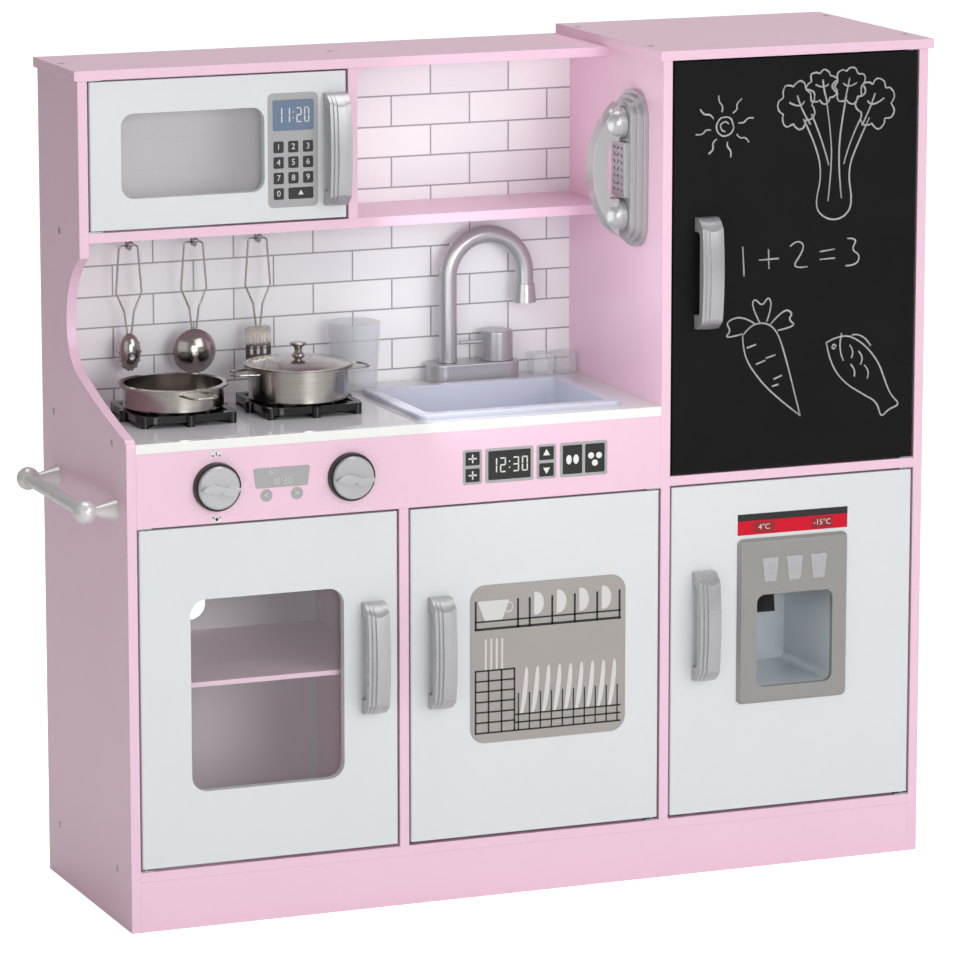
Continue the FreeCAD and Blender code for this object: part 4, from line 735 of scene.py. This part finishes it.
for x in (428.7, 435.8):
    whites.append(disc(at_x(x), 407.5 * MM, 2.8 * MM, lit, sides=18, tall=1.6))
for turn in range(3):
    angle = turn * math.tau / 3 + 0.5
    whites.append(
        disc(
            at_x(454.8) + 4.6 * MM * math.cos(angle), 407.5 * MM + 4.6 * MM * math.sin(angle), 3 * MM, lit,
            sides=16
        )
    )
piece(blacks, "panel_squares", PRINT_BLACK, "cabinet")
piece(whites, "panel_signs", PRINT_WHITE, "cabinet")
clock = display("10:30", at_x(147.2), 408.6 * MM, 3.2 * MM, 6.4 * MM, 0.7 * MM, STICKER_FACE)
clock += display("160", at_x(138), 416.6 * MM, 2.4 * MM, 4.4 * MM, 0.5 * MM, STICKER_FACE)
clock += [
    figures(sign, at_x(147.2 + side * 14.75), 396 * MM, 5.5 * MM, STICKER_FACE)
    for sign, side in (("<", -1), (">", 1))
]
piece(clock, "clock_signs", PRINT_WHITE, "cabinet")
DOTS = 30
DOT_RING = 28.5 * MM
DOT_RADIUS = 0.85 * MM
SWITCH_RING = 30 * MM
dots = []
for knob in ("left_knob", "right_knob"):
    near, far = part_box(knob)
    x, z = (near.x + far.x) / 2, (near.z + far.z) / 2
    for dot in range(DOTS):
        angle = dot * math.tau / DOTS
        dots.append(
            disc(
                x + DOT_RING * math.cos(angle), z + DOT_RING * math.sin(angle), DOT_RADIUS, PANEL_FACE,
                sides=10
            )
        )
near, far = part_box("left_knob")
switch_x, switch_z = (near.x + far.x) / 2, (near.z + far.z) / 2
for side in (-1, 1):
    dots.append(disc(switch_x, switch_z + side * SWITCH_RING, 5.2 * MM, PANEL_FACE, sides=28, tall=0.5))
piece(dots, "heat_dots", PRINT_WHITE, "cabinet")
lit = PANEL_FACE - FILM
switch = [patch(switch_x - 0.5 * MM, switch_x + 0.5 * MM, switch_z + 28.4 * MM, switch_z + 31.6 * MM, lit)]
switch.append(disc(switch_x, switch_z - SWITCH_RING, 1.5 * MM, lit))
piece(switch, "switch_marks", PRINT_BLACK, "cabinet")

# %% [markdown]
# ## The dishwasher's picture
# The sticker shows an upper rack of cups and a lower rack of plates beside a cutlery basket.
# Cups are tapered blocks, bowls and plates are ovals sliced flat and the racks are black bars.

# %% Dishwasher picture
low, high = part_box("dishwasher_sticker")
RACK_FACE = low.y


def rx(share):
    return low.x + share * (high.x - low.x)


def rz(share):
    return low.z + share * (high.z - low.z)


def taper(shape, waist, z0, z1, x):
    """Draw a patch's lower corners together, so that it narrows like a cup."""
    bpy.ops.object.mode_set(mode="EDIT")
    bpy.ops.mesh.select_mode(type="VERT")
    bpy.ops.mesh.select_all(action="DESELECT")
    mesh = bmesh.from_edit_mesh(shape.data)
    for vertex in mesh.verts:
        vertex.select = vertex.co.z < (z0 + z1) / 2
    mesh.select_flush_mode()
    bmesh.update_edit_mesh(shape.data)
    bpy.ops.transform.resize(value=(waist, 1, 1), center_override=(x, 0, z0))
    bpy.ops.object.mode_set(mode="OBJECT")
    return shape


def cut_flat(shape, x, z, lean=0.0):
    """Slice off what lies to the left of a line, and close the cut."""
    bpy.ops.object.mode_set(mode="EDIT")
    bpy.ops.mesh.select_all(action="SELECT")
    bpy.ops.mesh.bisect(
        plane_co=(x, 0, z), plane_no=(math.cos(lean), 0, -math.sin(lean)), use_fill=True, clear_inner=True
    )
    bpy.ops.object.mode_set(mode="OBJECT")
    return shape


PLATE_LEAN = 0.12
BOWL_FLAT = 1.5 * MM
PLATE_FLAT = 1.4 * MM
china = []
x, z0, z1 = rx(0.15), rz(0.775), rz(0.9)
half = 0.1 * (high.x - low.x)
china.append(taper(patch(x - half, x + half, z0, z1, RACK_FACE, corner=1.5 * MM), 0.6, z0, z1, x))
alone()
grip = (x + half * 0.95, RACK_FACE - FILM / 2, (z0 + z1) / 2 + 2 * MM)
bpy.ops.mesh.primitive_torus_add(
    location=grip, rotation=(math.pi / 2, 0, 0), major_segments=24, minor_segments=8,
    major_radius=4.4 * MM, minor_radius=1 * MM
)
handle = bpy.context.object
bpy.ops.object.transform_apply(location=True, rotation=True, scale=True)
bpy.ops.object.mode_set(mode="EDIT")
bpy.ops.mesh.select_all(action="SELECT")
bpy.ops.transform.resize(value=(1, 0.05, 1), center_override=grip)
bpy.ops.object.mode_set(mode="OBJECT")
china.append(handle)
for index in range(4):
    x = rx(0.42 + 0.145 * index)
    bowl = disc(x, rz(0.86), 8.2 * MM, RACK_FACE, sides=32, tall=1.35)
    china.append(cut_flat(bowl, x - BOWL_FLAT, rz(0.86)))
for index in range(9):
    x = rx(0.345 + 0.071 * index)
    plate = disc(x, rz(0.31), 3.3 * MM, RACK_FACE, sides=24, tall=7.0, lean=PLATE_LEAN)
    china.append(cut_flat(plate, x - PLATE_FLAT, rz(0.31), PLATE_LEAN))
for index, lean in enumerate((0.10, 0.135, 0.17, 0.205)):
    china.append(
        patch(rx(lean) - 1 * MM, rx(lean) + 1 * MM, rz(0.46), rz(0.66), RACK_FACE, corner=0.8 * MM)
    )
piece(china, "rack_china", PRINT_CHINA, "dishwasher_door")
bars = []
line = RACK_FACE - FILM


def bar(x0, x1, z0, z1):
    bars.append(patch(rx(x0), rx(x1), rz(z0), rz(z1), line))


bar(0.03, 0.97, 0.715, 0.73)
bar(0.03, 0.97, 0.765, 0.775)
for share in (0.03, 0.3, 0.375, 0.52, 0.665, 0.81, 0.955):
    bar(share, share + 0.012, 0.715, 0.9)
for column in range(4):
    bar(0.03 + 0.083 * column, 0.04 + 0.083 * column, 0.06, 0.46)
for row in range(7):
    bar(0.03, 0.289, 0.06 + 0.0657 * row, 0.07 + 0.0657 * row)
for level_at in (0.06, 0.11, 0.16):
    bar(0.289, 0.97, level_at, level_at + 0.01)
for index in range(10):
    bar(0.305 + 0.071 * index, 0.313 + 0.071 * index, 0.06, 0.3)
piece(bars, "rack_bars", PRINT_BLACK, "dishwasher_door")

# %% [markdown]
# ## The refrigerator's label and the dispenser's signs
# A red label with a black strip shows two temperatures. The dispenser has three raised cups over
# its opening, made as tapered blocks standing a little proud of the frame.

# %% Label and dispenser signs
DOOR_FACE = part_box("fridge_door")[0].y
piece(
    [patch(at_x(600.6), at_x(714.4), 322.2 * MM, 335.9 * MM, DOOR_FACE)], "label_red", PRINT_RED,
    "fridge_door"
)
piece(
    [patch(at_x(600.6), at_x(714.4), 335.7 * MM, 342.2 * MM, DOOR_FACE, film=2 * FILM)], "label_strip",
    PRINT_BLACK, "fridge_door"
)
panes, temps = [], []
for x, text in ((628, "4°C"), (688, "-15°C")):
    panes.append(patch(at_x(x - 11), at_x(x + 11), 324 * MM, 334 * MM, DOOR_FACE - FILM))
    temps.append(figures(text, at_x(x), 329 * MM, 5.4 * MM, DOOR_FACE - 2 * FILM))
piece(panes, "label_panes", PRINT_DARK_RED, "fridge_door")
piece(temps, "label_figures", PRINT_WHITE, "fridge_door")
dispenser_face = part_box("ice_dispenser")[0].y
signs = []
for index in range(3):
    x = at_x(633 + 25 * index)
    z0, z1 = 277 * MM, 300 * MM
    signs.append(
        taper(
            patch(x - 8.5 * MM, x + 8.5 * MM, z0, z1, dispenser_face, corner=1 * MM, film=0.5 * MM), 0.7,
            z0, z1, x
        )
    )
    for mark in range(3):
        signs.append(
            patch(
                x + (mark - 1) * 3.6 * MM - 0.6 * MM, x + (mark - 1) * 3.6 * MM + 0.6 * MM, 283 * MM,
                294 * MM, dispenser_face, film=0.9 * MM
            )
        )
piece(signs, "dispenser_signs", SILVER, "fridge_door")

# %% [markdown]
# ## Chalk drawings
# A chalk stroke is a hand-drawn line with a soft, broken edge. Each one is a curve with a round
# thickness, turned into a mesh and pressed nearly flat against the board. The drawings are plain
# ones of a child's kind: a sun, leaves, a sum, a carrot and a fish.

# %% Chalk
BOARD_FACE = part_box("freezer_door")[0].y
CHALK_FLAT = 0.12
CHALK_SUNK = 0.05 * MM
HAND_WOBBLE = 0.5
random.seed(4)


def stroke_curve(lines, name, radius=0.95 * MM):
    curve = bpy.data.curves.new(name, "CURVE")
    curve.dimensions = "3D"
    curve.bevel_depth = radius
    curve.bevel_resolution = 1
    curve.resolution_u = 4
    curve.use_fill_caps = True
    for line_points in lines:
        spline = curve.splines.new("NURBS")
        spline.points.add(len(line_points) - 1)
        for point, (x, z) in zip(spline.points, line_points):
            across, up = (random.uniform(-HAND_WOBBLE, HAND_WOBBLE) for _ in range(2))
            point.co = (at_x(x + across), 0, (z + up) * MM, 1)
            point.radius = random.uniform(0.75, 1.15)
        spline.order_u = min(3, len(line_points))
        spline.use_endpoint_u = True
    made = bpy.data.objects.new(name, curve)
    bpy.context.scene.collection.objects.link(made)
    alone()
    made.select_set(True)
    bpy.context.view_layer.objects.active = made
    bpy.ops.object.convert(target="MESH")
    made = bpy.context.object
    bpy.ops.object.mode_set(mode="EDIT")
    bpy.ops.mesh.select_all(action="SELECT")
    bpy.ops.mesh.remove_doubles(threshold=SAME_PLACE)
    bpy.ops.transform.resize(value=(1, CHALK_FLAT, 1), center_override=(0, 0, 0))
    bpy.ops.transform.translate(value=(0, BOARD_FACE - CHALK_SUNK, 0))
    bpy.ops.mesh.normals_make_consistent(inside=False)
    bpy.ops.object.mode_set(mode="OBJECT")
    return made


def ring_of(x, z, wide, tall, count=14, start=0.0, sweep=math.tau):
    return [
        (x + wide * math.cos(start + sweep * k / count), z + tall * math.sin(start + sweep * k / count))
        for k in range(count + 1)
    ]


sun = [ring_of(584, 709, 9, 9), ring_of(584, 709, 4.5, 4.5, 8, 0.4, 4.4)]
for ray in range(8):
    angle = ray * math.tau / 8 + 0.2
    sun.append([
        (584 + r * math.cos(angle) + w * math.sin(angle), 709 + r * math.sin(angle) - w * math.cos(angle))
        for r, w in ((14, 0), (19, 2.5), (24, -2.5), (30, 0))
    ])
STALK_X = 697
leaves = []
for x, z, wide, tall in ((657, 725, 18, 21), (683, 741, 15, 15), (711, 741, 16, 16), (738, 723, 19, 22)):
    ruffle = []
    for step in range(57):
        turn = step * math.tau / 56
        swell = 0.84 + 0.26 * abs(math.sin(3.5 * turn))
        ruffle.append((x + wide * swell * math.cos(turn), z + tall * swell * math.sin(turn)))
    leaves.append(ruffle)
    leaves.append([
        (x + (STALK_X - x) * 0.35, z - tall * 0.9), (x + (STALK_X - x) * 0.12, z - tall * 0.2),
        (x, z + tall * 0.45),
    ])
    leaves.append([
        (x - wide * 0.45, z + tall * 0.15), (x + (STALK_X - x) * 0.12, z - tall * 0.2),
        (x + wide * 0.45, z + tall * 0.2),
    ])
leaves += [
    [
        (664, 712), (676, 690), (684, 660), (676, 628), (690, 616), (706, 617), (716, 630), (710, 662),
        (722, 690), (732, 710),
    ],
    [(686, 733), (692, 700), (694, 665), (690, 634)], [(708, 732), (702, 702), (700, 666), (704, 636)],
    [(672, 716), (684, 690), (690, 668)], [(724, 712), (712, 690), (706, 668)],
]
total = [
    [(603, 596), (604, 583), (605, 568)], [(620, 582), (640, 583)], [(630, 592), (630, 573)],
    [(652, 593), (658, 599), (666, 595), (664, 586), (652, 571), (670, 573)],
    [(682, 587), (698, 588)], [(682, 579), (698, 580)],
    [(710, 598), (722, 597), (715, 587), (724, 581), (720, 571), (709, 572)],
]
carrot = [
    [(604, 512), (612, 522), (628, 524), (640, 514), (648, 490), (656, 462), (664, 432)],
    [(604, 512), (604, 496), (616, 476), (638, 452), (664, 432)],
    [(608, 500), (618, 503)], [(638, 492), (628, 489)], [(618, 484), (627, 487)],
    [(645, 472), (636, 469)], [(634, 462), (641, 464)],
    [(618, 522), (604, 532), (586, 526), (592, 518), (584, 510), (604, 514)],
    [(622, 522), (612, 540), (616, 547), (624, 538), (630, 548), (634, 538), (628, 524)],
    [(632, 521), (646, 536), (656, 530), (650, 524), (660, 518), (640, 515)],
]
fish = [
    [
        (690, 500), (694, 482), (708, 462), (730, 448), (744, 440), (748, 424), (756, 432), (768, 436),
        (758, 446), (752, 458), (744, 480), (726, 500), (706, 508), (690, 500)
    ],
    [(706, 508), (702, 494), (708, 482)], ring_of(698, 496, 2, 2, 8), [(716, 506), (728, 508), (736, 494)],
    [(714, 496), (720, 490), (716, 484)], [(724, 490), (730, 484), (726, 477)],
    [(716, 478), (722, 472), (719, 466)], [(730, 476), (737, 470), (733, 463)],
]
for name, lines in (
    ("chalk_sun", sun), ("chalk_leaves", leaves), ("chalk_sum", total), ("chalk_carrot", carrot),
    ("chalk_fish", fish)
):
    piece([stroke_curve(lines, name)], name, CHALK_LINE, "freezer_door")
